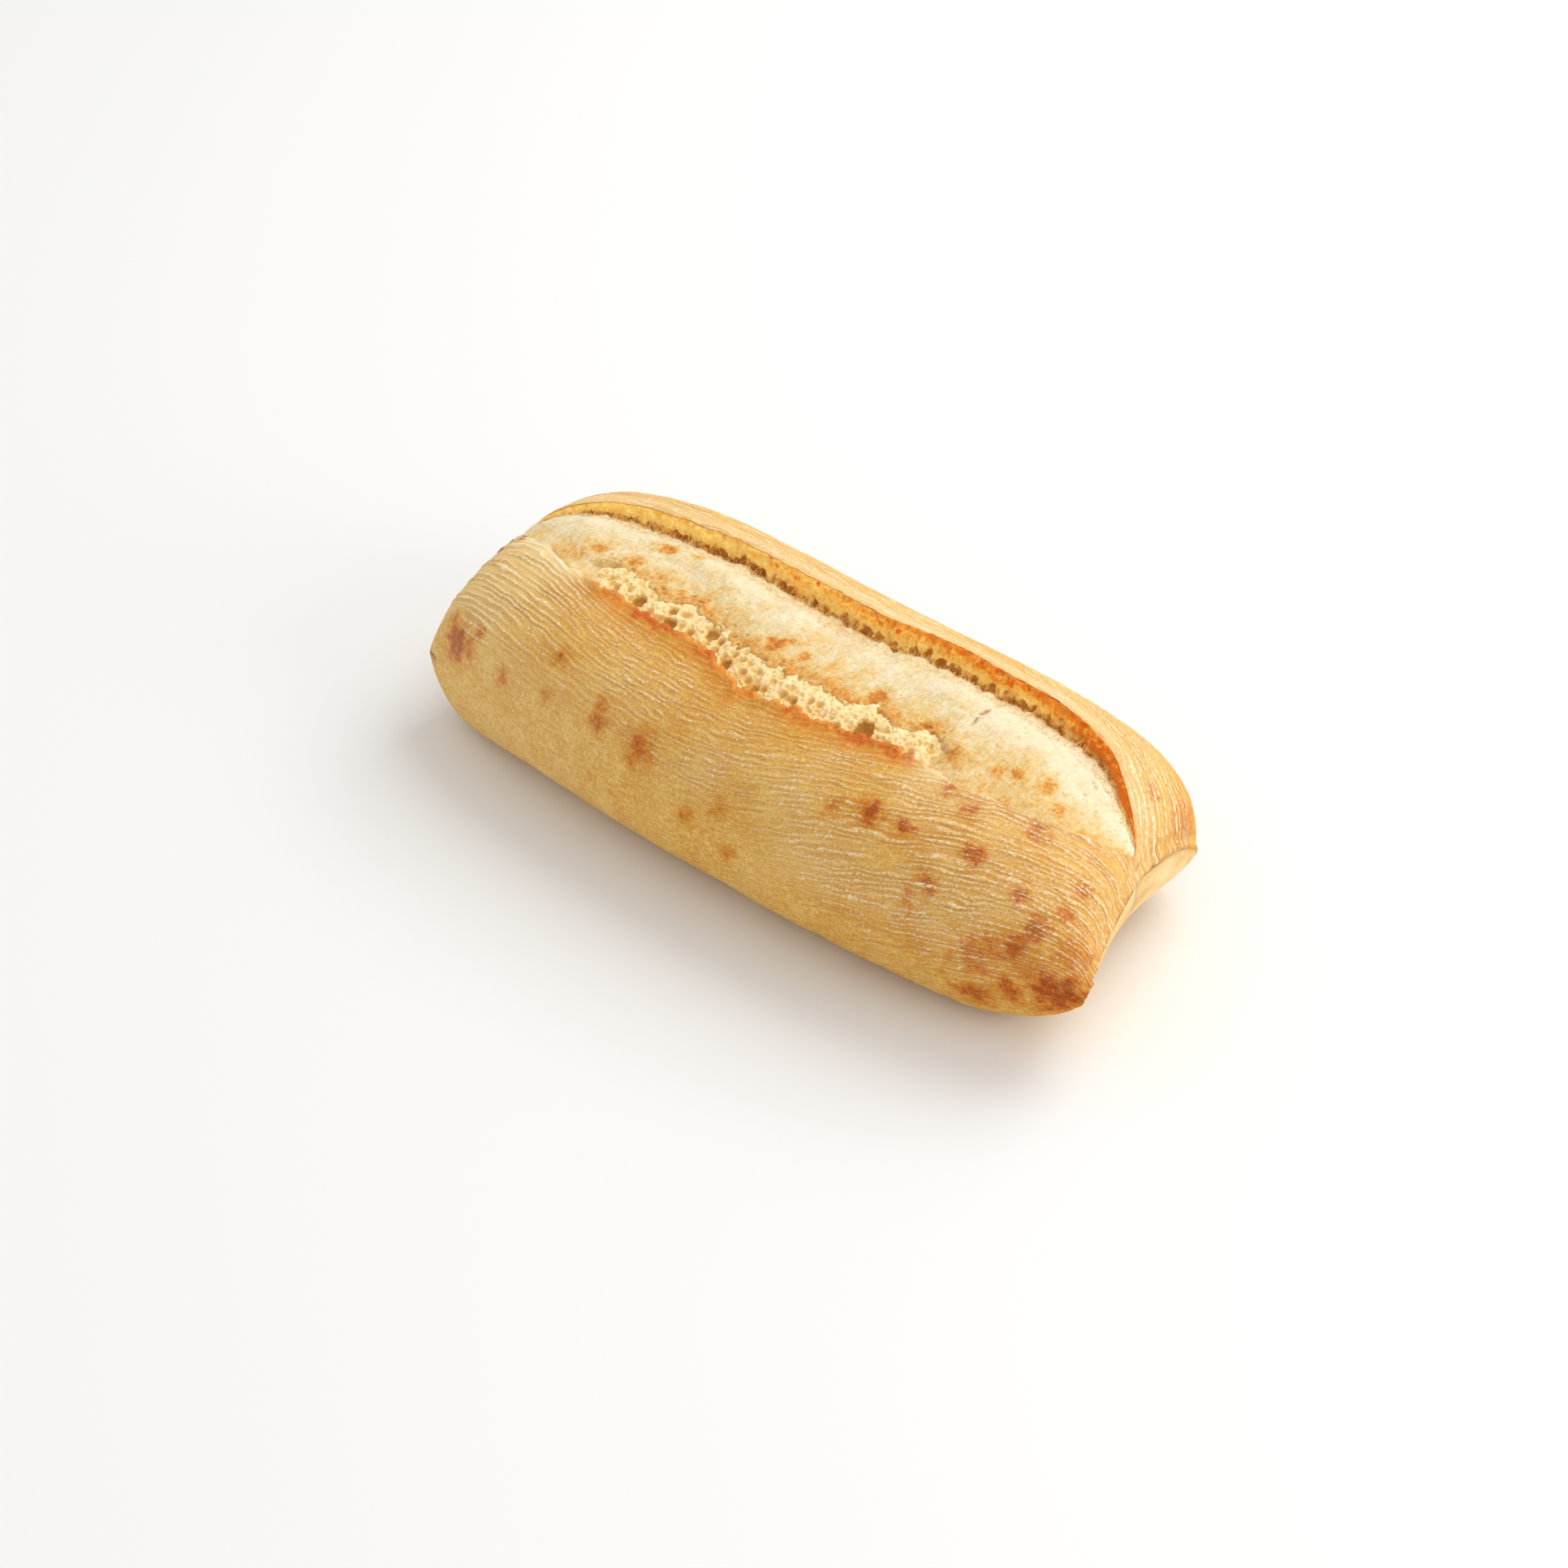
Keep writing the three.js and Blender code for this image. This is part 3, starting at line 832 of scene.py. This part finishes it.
# The crumb: the soft cream inside that the slash laid bare, a low dome between the two crusts.
# Its skin dried and toasted in patches, and is drawn out in fine fibres towards the far side.
# It is one closed body, tucked under the near lip and sunk at its far edge into the groove below the ear.
CRUMB_STATIONS = 560
TUCK_ROWS = 4
DOME_ROWS = 150
NEAR_DROP = 1.8
FOAM_BED = 3.0
FOAM_SHARE = 0.27
TUCK_IN = 0.06
TUCK_DROP = 3.2
UNDER_DROP = 4.0


def torn_foot(t):
    """Where the dome meets the far wall, a ragged line."""
    return groove_foot(t) + fray(t, (0.012, 9, 300), (0.010, 3.5, 340)) * opening(t)


def dome_height(t, q, v):
    """The dome from the near lip (v = 0) to its far edge (v = 1), which sinks unevenly into the groove."""
    uneven = fray(t, (0.8, 14, 360), (0.7, 5, 390))
    return crumb_height(t, q, v) - 1.6 * uneven * v ** 8 * opening(t)


def skin_edge(t):
    """Where the dome's skin gives way to open foam, as a share of the way across the dome."""
    return FOAM_SHARE + fray(t, (0.10, 11, 420), (0.05, 3, 450), (0.02, 1.2, 480))


def sink(field, points, station, at_row, radius, deep):
    """Sinks a round, frayed hollow into a field of depths over a surface."""
    reach = int(radius / 0.2) + 3
    block = (slice(max(station - reach, 0), station + reach), slice(max(at_row - reach, 0), at_row + reach))
    near_points = points[block]
    frayed = lumps(near_points, (0.2, 1.1, 0), (0.2, 2.6, 3))
    apart = distance(near_points - points[station, at_row]) / radius + frayed
    field[block] = np.maximum(field[block], deep * radius * np.sqrt(unit(1 - apart ** 2)))


def slit(field, points, start, end, width, deep):
    """Sinks a narrow cut between two points into a field of depths over a surface."""
    run = end - start
    share = unit((points - start) @ run / (run @ run))
    apart = distance(points - start - share[..., None] * run) / width
    field[:] = np.maximum(field, deep * np.sqrt(unit(1 - apart ** 2)))


t = SLASH_END * stations(CRUMB_STATIONS)
wide = opening(t)
near = near_lip(t)
foot = torn_foot(t)
tuck_q = near - TUCK_IN * wide
tuck_share = share_rows(TUCK_ROWS)[:, :-1]
v = share_rows(DOME_ROWS)
dome_q = mix(near, foot, v)
edge = skin_edge(t)
drop = torn(t) * (NEAR_DROP + FOAM_BED) * smooth(edge, edge - 0.05, v)
dome_z = dome_height(t, dome_q, v) - drop
under = share_rows(3)
points, q, row = ring_points(t, (
    (mix(tuck_q, near, tuck_share), dome_z[:, :1] - TUCK_DROP * wide * (1 - tuck_share)),
    (dome_q, dome_z),
    (mix(foot + 0.01 * wide, tuck_q, under), dome_z[:, -1:] - UNDER_DROP * wide + 0 * under),
    (tuck_q, dome_z[:, :1] - TUCK_DROP * wide),
))
over = unit((row - TUCK_ROWS) / DOME_ROWS)
shown = (row >= 1) & (row <= TUCK_ROWS + DOME_ROWS)
normals = grid_normals(points, TUCK_ROWS + DOME_ROWS // 2)

# Narrow tears in the dome as the picture shows them: pixels of both ends, width in millimetres.
SLITS = (
    (1064, 869, 1075, 865, 0.5), (1208, 880, 1217, 875, 0.7), (1198, 890, 1204, 884, 0.35),
    (861, 742, 868, 743, 0.4),
)
SLIT_DEPTH = 1.2
END_MARGIN = 30
SMALL_PORES = 60
SMALL_PORE_BAND = (0.15, 0.9)
SMALL_PORE_RADIUS = (0.35, 0.7)
EDGE_PORES = 70
EDGE_PORE_BAND = (-0.62, 0.5)
EDGE_PORE_STRAY = 0.04
EDGE_PORE_RADIUS = (0.4, 0.9)
PORE_DEPTH = 0.8
depth = np.zeros(q.shape)
for start_x, start_y, end_x, end_y, width in SLITS:
    ends = [points[seen_at(points, normals, pixel)] for pixel in ((start_x, start_y), (end_x, end_y))]
    slit(depth, points, *ends, width, SLIT_DEPTH)
draw = np.random.default_rng(11)
for _ in range(SMALL_PORES):
    station = draw.integers(END_MARGIN, CRUMB_STATIONS - END_MARGIN)
    at_row = TUCK_ROWS + int(draw.uniform(*SMALL_PORE_BAND) * DOME_ROWS)
    sink(depth, points, station, at_row, draw.uniform(*SMALL_PORE_RADIUS), PORE_DEPTH)
for _ in range(EDGE_PORES):
    station = np.argmin(np.abs(t[:, 0] - draw.uniform(*EDGE_PORE_BAND)))
    at_row = TUCK_ROWS + int((edge[station, 0] + draw.exponential(EDGE_PORE_STRAY)) * DOME_ROWS)
    sink(depth, points, station, at_row, draw.uniform(*EDGE_PORE_RADIUS), PORE_DEPTH)
relief = lumps(points, (0.8, 9, 0), (0.35, 3.2, 9), (0.16, 1.3, 4))
relief += 0.28 * grain(points + 7, 1.1, 5, 5) * smooth(0.1, 0.6, over)
relief += lumps(points, (1.0, 3.4, 13), (0.6, 1.5, 17)) * smooth(0.72, 0.92, over)
points = points + normals * ((relief - depth) * shown * wide)[..., None]

# Toasted patches of the crumb: pixel across, pixel down, radius in millimetres, strength.
CRUMB_SPOTS = (
    (741, 676, 4, 0.6), (819, 676, 5, 0.9), (781, 691, 4.5, 0.65), (861, 686, 4.5, 0.5),
    (812, 709, 4, 0.45), (839, 731, 4.5, 0.45), (958, 794, 5.5, 0.85), (992, 811, 4.5, 0.65),
    (1025, 823, 5, 0.4), (1086, 861, 5.5, 0.8), (1076, 882, 5, 0.95), (1143, 897, 5, 0.85),
    (1177, 929, 4, 0.7), (1229, 948, 4.5, 0.65), (1256, 956, 4, 0.65), (1290, 968, 4.5, 0.6),
    (1307, 1000, 4, 0.55), (1000, 790, 14, 0.2), (1040, 840, 18, 0.26), (900, 760, 15, 0.24),
    (800, 710, 16, 0.24), (1240, 950, 15, 0.2), (700, 680, 11, 0.3), (1130, 880, 14, 0.2),
    (860, 740, 12, 0.24), (1180, 940, 13, 0.26),
)
toast = 0.85 * brown_spots(points, spots_seen(points, normals, CRUMB_SPOTS), 600)
toast = np.maximum(toast, 0.32 * bell(over - edge, 0.04, 0.08) * torn(t))
toast = np.maximum(toast, 0.2 * smooth(0.3, 0.0, over) * smooth(0.45, 0.6, t))
toast = toast + 0.14 * smooth(0.75, 0.15, over) - 0.05
toast = toast - 0.1 * smooth(0.3, 0.75, t) * smooth(0.35, 0.7, over)
crumb = wrap_grid(
    "torn_crumb", points,
    dict(toast=toast, fall=smooth(0.9, 1.0, over), pore=unit(depth / 0.8)),
)
crumb_t = t
crumb_points = points
crumb_normals = normals

CRUMB_STOPS = (
    (0.0, srgb(245, 230, 194)), (0.16, srgb(239, 213, 162)), (0.36, srgb(235, 196, 122)),
    (0.58, srgb(229, 158, 72)), (1.0, srgb(196, 106, 42)),
)
FAR_EDGE_GOLD = srgb(246, 200, 120)
PORE_SHADE_TAN = srgb(206, 150, 76)
CRUMB_GLOW = 0.25

crumb_finish, wire, shader, in_metres = new_material("torn crumb", 0.85, CRUMB_GLOW)
grit = wire.noise(in_metres, 1900, 3, 0.7)
motes = wire.noise(in_metres, 640, 3, 0.65)
blotches = wire.noise(in_metres, 120, 4, 0.6)
fibres = wire.noise(in_metres, (1500, 330, 330), 3, 0.65)
browning = wire.attribute("toast") * (1 + motes * 0.8) + blotches * 0.75 + grit * 0.7
browning = browning + motes * 0.5 + fibres * 0.6 + 0.12
bare = browning.ramp(CRUMB_STOPS)
bare = wire.blend(wire.attribute("fall") * 0.5, bare, FAR_EDGE_GOLD)
# Pores and slits are painted tan: painted shade in the hollows.
bare = wire.blend(wire.attribute("pore") * 0.7, bare, PORE_SHADE_TAN)
bare.feed(shader, "Base Color")
(fibres * 0.6 + grit * 0.4 + motes * 0.5).bump(0.85, MM).feed(shader, "Normal")
crumb.data.materials.append(crumb_finish)
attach(crumb, "root")

# The open foam: a strip of torn bubbles along the near lip, where the slash cut through the crumb's skin.
# Bubbles of all sizes lie open in it, with thin bright walls between them. The bubbles are painted darker
# inside as painted shade, and the strip has a faint painted glow.
# It is one closed body, let into the crumb between the lip and the edge of the dome's skin.
FOAM_STATIONS = 800
FOAM_ROWS = 76
FOAM_FIRST = -0.70
FOAM_LAST = 0.58
FOAM_TUCK = 0.07
FOAM_BEYOND = 0.06
FOAM_SUNK = 0.25
FOAM_THICK = 5.0
FOAM_BURIED = 4.0
BUBBLE_SIZES = (3.0, 1.8, 1.1)
BUBBLE_RADIUS = (0.22, 0.58)
BUBBLE_DEPTH = 0.8
BUBBLE_SCATTER = np.array((12.99, 78.23, 37.72))
BUBBLE_SPREAD = 43758.55
FOAM_PAINTED_GLOW = 0.16
# The foam's colours by depth: the darker ones deep in the bubbles are painted shade.
FOAM_PIT_SHADE_STOPS = (
    (0.0, srgb(243, 221, 168)), (0.3, srgb(239, 207, 142)), (0.65, srgb(225, 185, 107)),
    (1.0, srgb(178, 127, 55)),
)

t = np.linspace(FOAM_FIRST, FOAM_LAST, FOAM_STATIONS + 1)[:, None]
edge = skin_edge(t)
v = mix(-FOAM_TUCK, edge + FOAM_BEYOND, share_rows(FOAM_ROWS))
foam_q = mix(near_lip(t), torn_foot(t), v)
sunk = mix(FOAM_BURIED, mix(FOAM_SUNK, NEAR_DROP, smooth(edge, 0, v)), torn(t))
sunk = sunk + FOAM_BED * smooth(edge + 0.005, edge + FOAM_BEYOND, v)
foam_z = dome_height(t, foam_q, np.maximum(v, 0)) - sunk
under = share_rows(2)
under_q = mix(foam_q[:, -1:], foam_q[:, :1], under)
under_z = mix(foam_z[:, -1:], foam_z[:, :1], under) - FOAM_THICK
points, q, row = ring_points(t, ((foam_q, foam_z), (under_q, under_z), (foam_q[:, :1], foam_z[:, :1])))
shown = smooth(0, 3, row) * smooth(FOAM_ROWS, FOAM_ROWS - 3, row)
normals = grid_normals(points, FOAM_ROWS // 2)

# The larger bubbles as the picture shows them: pixel across, pixel down, radius in millimetres.
BUBBLES = (
    (787, 739, 2.8), (830, 752, 2), (821, 769, 3.2), (878, 780, 2.8), (889, 790, 2), (858, 797, 2.2),
    (892, 817, 2.4), (914, 827, 1.6), (928, 847, 2.2), (940, 849, 1.7), (964, 854, 1.7), (977, 863, 1.8),
    (1029, 894, 1.7), (1064, 898, 3.8), (1089, 918, 2.3), (1120, 926, 1.7), (800, 752, 1.6),
    (850, 778, 1.8), (905, 806, 1.6), (1010, 868, 1.5), (760, 722, 1.6),
)


def open_bubbles(points, size):
    """Depths of bubbles of about a size, cut open wherever a surface meets them."""
    spots = (points / size).reshape(-1, 3)
    found = [noise.voronoi(spot) for spot in spots.tolist()]
    apart = np.array([distances[0] for distances, _ in found])
    home = np.array([tuple(homes[0]) for _, homes in found])
    chance = np.sin(home @ BUBBLE_SCATTER) * BUBBLE_SPREAD % 1
    radius = mix(*BUBBLE_RADIUS, chance)
    return size * np.sqrt(unit(radius ** 2 - apart ** 2)).reshape(points.shape[:-1])


depth = np.zeros(q.shape)
for size in BUBBLE_SIZES:
    bent = points + 0.25 * size * grain(points + size, 1.5)[..., None]
    depth = np.maximum(depth, 0.75 * open_bubbles(bent, size))
for across_px, down_px, radius in BUBBLES:
    sink(depth, points, *seen_at(points, normals, (across_px, down_px)), radius, BUBBLE_DEPTH)
relief = lumps(points, (0.45, 4, 0), (0.25, 1.4, 9), (0.12, 0.6, 4))
depth = depth * smooth(FOAM_ROWS - 6, FOAM_ROWS - 24, row)
points = points + normals * ((relief - depth) * shown)[..., None]
foam = wrap_grid("open_foam", points, dict(pit=unit(depth / 1.6)))
foam_finish, wire, shader, in_metres = new_material("open foam", 0.85)
grit = wire.noise(in_metres, 2400, 3, 0.7)
blotches = wire.noise(in_metres, 160, 3, 0.6)
shade = wire.attribute("pit") + grit * 0.4 + blotches * 0.5 + 0.05
# Its colour also feeds its emission: a painted glow that lightens the foam's shade.
shade.ramp(FOAM_PIT_SHADE_STOPS).feed(shader, "Base Color", "Emission Color")
shader.inputs["Emission Strength"].default_value = FOAM_PAINTED_GLOW
grit.bump(0.5, 0.5 * MM).feed(shader, "Normal")
foam.data.materials.append(foam_finish)
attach(foam, "root")

# The torn wall: the crumb under the ear, pulled apart as the slash opened.
# It is ragged golden webbing with darker gaps along its foot. Its colour feeds a faint glow, painted light
# standing in for light through the thin crumb, and it is painted darker at its foot, in its pits and along
# its left part as painted shade.
# It is one closed body along the whole slash, tucked under the dome's far edge and into the ear.
WALL_STATIONS = 1000
WALL_ROWS = 46
WALL_PAINTED_GLOW = 0.21
WALL_POCKETS = 46
WALL_FOOT_SUNK = 1.2
WALL_THICK = 3.0
UNDERCUT = 1.6
OVERHANG = 1.0
POCKET_HEIGHT = (0.05, 0.4)
POCKET_RADIUS = (0.8, 2.3)
# The wall's colours from foot to top: the dark brown at the foot is painted shade in the groove, and the
# orange at the top is the browned rim.
WALL_SHADE_STOPS = (
    (0.0, srgb(142, 78, 18)), (0.18, srgb(212, 144, 52)), (0.36, srgb(248, 210, 122)),
    (0.54, srgb(252, 210, 116)), (0.76, srgb(248, 188, 84)), (1.0, srgb(230, 132, 34)),
)
PIT_SHADE_BROWN = srgb(184, 112, 36)
SCORCH_ORANGE = srgb(216, 100, 8)

t = SLASH_END * np.linspace(-1, 1, WALL_STATIONS + 1)[:, None]
wide = opening(t)
foot = torn_foot(t)
ear = ear_line(t)
w = share_rows(WALL_ROWS)
foot_z = dome_height(t, foot, 1 + 0 * t) - WALL_FOOT_SUNK * wide
top_z = far_crust_height(t, ear) + 0.1 * wide
uneven = np.clip(1 + fray(t, (2.2, 9, 500), (1.4, 3.5, 530)), -2, 2.2)
sway = (UNDERCUT * uneven * bell(w, 0.25, 0.2) - OVERHANG * bell(w, 0.8, 0.22)) / MIDDLE_HALF_WIDTH
wall_q = mix(foot - 0.03 * wide, ear - 0.003 * wide, w) + sway * wide
wall_z = mix(foot_z, top_z, w)
under = share_rows(2)
under_q = mix(ear + 0.02 * wide, foot - 0.03 * wide, under)
points, q, row = ring_points(t, (
    (wall_q, wall_z),
    (ear + 0.014 * wide, top_z - 0.55 * wide),
    (under_q, foot_z - WALL_THICK * wide + 0 * under),
    (wall_q[:, :1], wall_z[:, :1]),
))
height = unit(row / WALL_ROWS)
shown = smooth(0, 3, row) * smooth(WALL_ROWS + 1, WALL_ROWS - 5, row)
normals = grid_normals(points, WALL_ROWS // 2, towards_camera)
strung = np.stack((points[..., 0], 0.4 * points[..., 2], 0.4 * points[..., 1]), -1)
strung = strung + 0.4 * grain(points, 2)[..., None]
depth = np.maximum(1.2 * open_bubbles(strung, 2.4), 0.9 * open_bubbles(strung + 40, 1.2))
depth = depth * mix(0.3, 1, smooth(0.75, 0.4, height))
for _ in range(WALL_POCKETS):
    station = draw.integers(END_MARGIN, WALL_STATIONS - END_MARGIN)
    at_row = int(draw.uniform(*POCKET_HEIGHT) * WALL_ROWS)
    sink(depth, points, station, at_row, draw.uniform(*POCKET_RADIUS) * wide[station, 0], 1.0)
relief = lumps(points, (1.0, 3.2, 19), (0.4, 1.0, 39), (0.2, 0.5, 49)) + lumps(strung, (0.45, 0.9, 29))
points = points + normals * ((relief - depth) * shown * wide)[..., None]
scorch = (2.4 * grain(points + 24, 2.2) - 0.25) * smooth(0.62, 0.9, height) * smooth(-0.8, 0.3, t)
scorch += smooth(0.5, 0.8, t) * smooth(0.1, 0.5, height)
# The height picks the wall's colour: low heights take the painted shade of the foot, and heights are scaled
# down along the left part, which is painted shade under the ear.
wall = wrap_grid(
    "torn_wall", points,
    dict(
        height=height * (0.74 + 0.46 * smooth(-0.5, 0.8, t)),
        pit=unit(depth / 1.2),
        scorch=unit(scorch),
    ),
)
wall_points = points
wall_finish, wire, shader, in_metres = new_material("torn wall", 0.9)
grit = wire.noise(in_metres, 2000, 3, 0.7)
motes = wire.noise(in_metres, 400, 3, 0.65)
blotches = wire.noise(in_metres, 70, 3, 0.6)
scorched = (wire.attribute("scorch") * (1 + motes * 2)).step(0.1, 0.8)
golden = (wire.attribute("height") + motes * 1.1 + grit * 0.7 + blotches * 0.5).ramp(WALL_SHADE_STOPS)
# The pits are painted brown: painted shade in the hollows.
golden = wire.blend(wire.attribute("pit").step(0.15, 1.0) * 0.7, golden, PIT_SHADE_BROWN)
golden = wire.blend(scorched * 0.85, golden, SCORCH_ORANGE)
# Its colour also feeds its emission: a painted glow for light through the thin crumb.
golden.feed(shader, "Base Color", "Emission Color")
shader.inputs["Emission Strength"].default_value = WALL_PAINTED_GLOW
(grit + motes).bump(0.9, 0.6 * MM).feed(shader, "Normal")
wall.data.materials.append(wall_finish)
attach(wall, "root")

# The torn threads: wisps of crumb that stretched and snapped as the slash opened.
# A few clumps bridge the groove from the dome to the wall, and short fuzz stands on the dome's far edge.
# Each is a thin tapered tube that stands on the crumb.
CLUMPS = 9
CLUMP_STRANDS = (2, 6)
CLUMP_SPREAD = (-9, 10)
ROWS_FROM_DOME_EDGE = (2, 14)
ROWS_UP_WALL = (14, 34)
THREAD_RADIUS = (0.08, 0.18)
THREAD_TAPER = np.array((1.8, 0.9, 0.8, 1.8))
THREAD_GOLD = srgb(246, 180, 80)
THREAD_CREAM = srgb(253, 216, 140)
HAIRS = 5600
HAIR_BAND = (0.68, 0.99)
HAIR_LIFT = (0.3, 1.0)
HAIR_LEAST = 0.4
HAIR_MORE = 0.5
HAIR_RADIUS = (0.025, 0.06)
HAIR_TAPER = np.array((1.8, 1.0, 0.4))
HAIR_GOLD = srgb(248, 216, 150)
HAIR_CREAM = srgb(253, 234, 188)


def threads(name, paths):
    """One mesh of thin tubes from lists of points and radii in millimetres."""
    bpy.ops.object.select_all(action="DESELECT")
    curve = bpy.data.curves.new(name, "CURVE")
    curve.dimensions = "3D"
    curve.bevel_depth = MM
    curve.bevel_resolution = 0
    curve.use_fill_caps = True
    for path, radii in paths:
        spline = curve.splines.new("POLY")
        spline.points.add(len(path) - 1)
        for knot, spot, radius in zip(spline.points, path, radii):
            knot.co = (*(spot * MM), 1)
            knot.radius = radius
    piece = bpy.data.objects.new(name, curve)
    bpy.context.collection.objects.link(piece)
    bpy.context.view_layer.objects.active = piece
    piece.select_set(True)
    bpy.ops.object.convert(target="MESH")
    weld(fill=False)
    return bpy.context.object


def thread_finish(name, roughness, scale, gold, cream):
    """A material that changes softly between two colours."""
    finish, wire, shader, in_metres = new_material(name, roughness)
    shade = wire.noise(in_metres, scale, 2, 0.6).step(-0.15, 0.15)
    wire.blend(shade, gold, cream).feed(shader, "Base Color")
    return finish


bridges = []
for _ in range(CLUMPS):
    middle = draw.integers(60, WALL_STATIONS - 60)
    for _ in range(draw.integers(*CLUMP_STRANDS)):
        station = middle + draw.integers(*CLUMP_SPREAD)
        crumb_station = np.argmin(np.abs(crumb_t[:, 0] - t[station, 0])) + draw.integers(-3, 4)
        start = crumb_points[crumb_station, TUCK_ROWS + DOME_ROWS - draw.integers(*ROWS_FROM_DOME_EDGE)]
        end = wall_points[station, draw.integers(*ROWS_UP_WALL)]
        radius = draw.uniform(*THREAD_RADIUS)
        sway = draw.normal(0, 0.5, 3)
        first_third = mix(start, end, 0.33) + 0.6 * sway + np.array((0, 0, 0.3))
        second_third = mix(start, end, 0.67) + sway
        bridges.append(((start, first_third, second_third, end), THREAD_TAPER * radius))
strands = threads("torn_threads", bridges)
strands.data.materials.append(thread_finish("golden threads", 0.85, 300, THREAD_GOLD, THREAD_CREAM))
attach(strands, "root")

hairs = []
for _ in range(HAIRS):
    station = draw.integers(16, CRUMB_STATIONS - 16)
    at_row = TUCK_ROWS + int(DOME_ROWS * draw.uniform(*HAIR_BAND) ** 0.5)
    start = crumb_points[station, at_row]
    lean = draw.normal(0, 0.5, 3) + draw.uniform(*HAIR_LIFT) * crumb_normals[station, at_row]
    room = mix(0.4, 1, opening(crumb_t[station, 0]))
    lean = lean / np.linalg.norm(lean) * (HAIR_LEAST + draw.exponential(HAIR_MORE)) * room
    bend = draw.normal(0, 0.15, 3)
    radius = draw.uniform(*HAIR_RADIUS)
    hairs.append(((start, start + 0.5 * lean + bend, start + lean), HAIR_TAPER * radius))
fuzz = threads("crumb_fuzz", hairs)
fuzz.data.materials.append(thread_finish("cream fuzz", 0.9, 120, HAIR_GOLD, HAIR_CREAM))
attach(fuzz, "root")
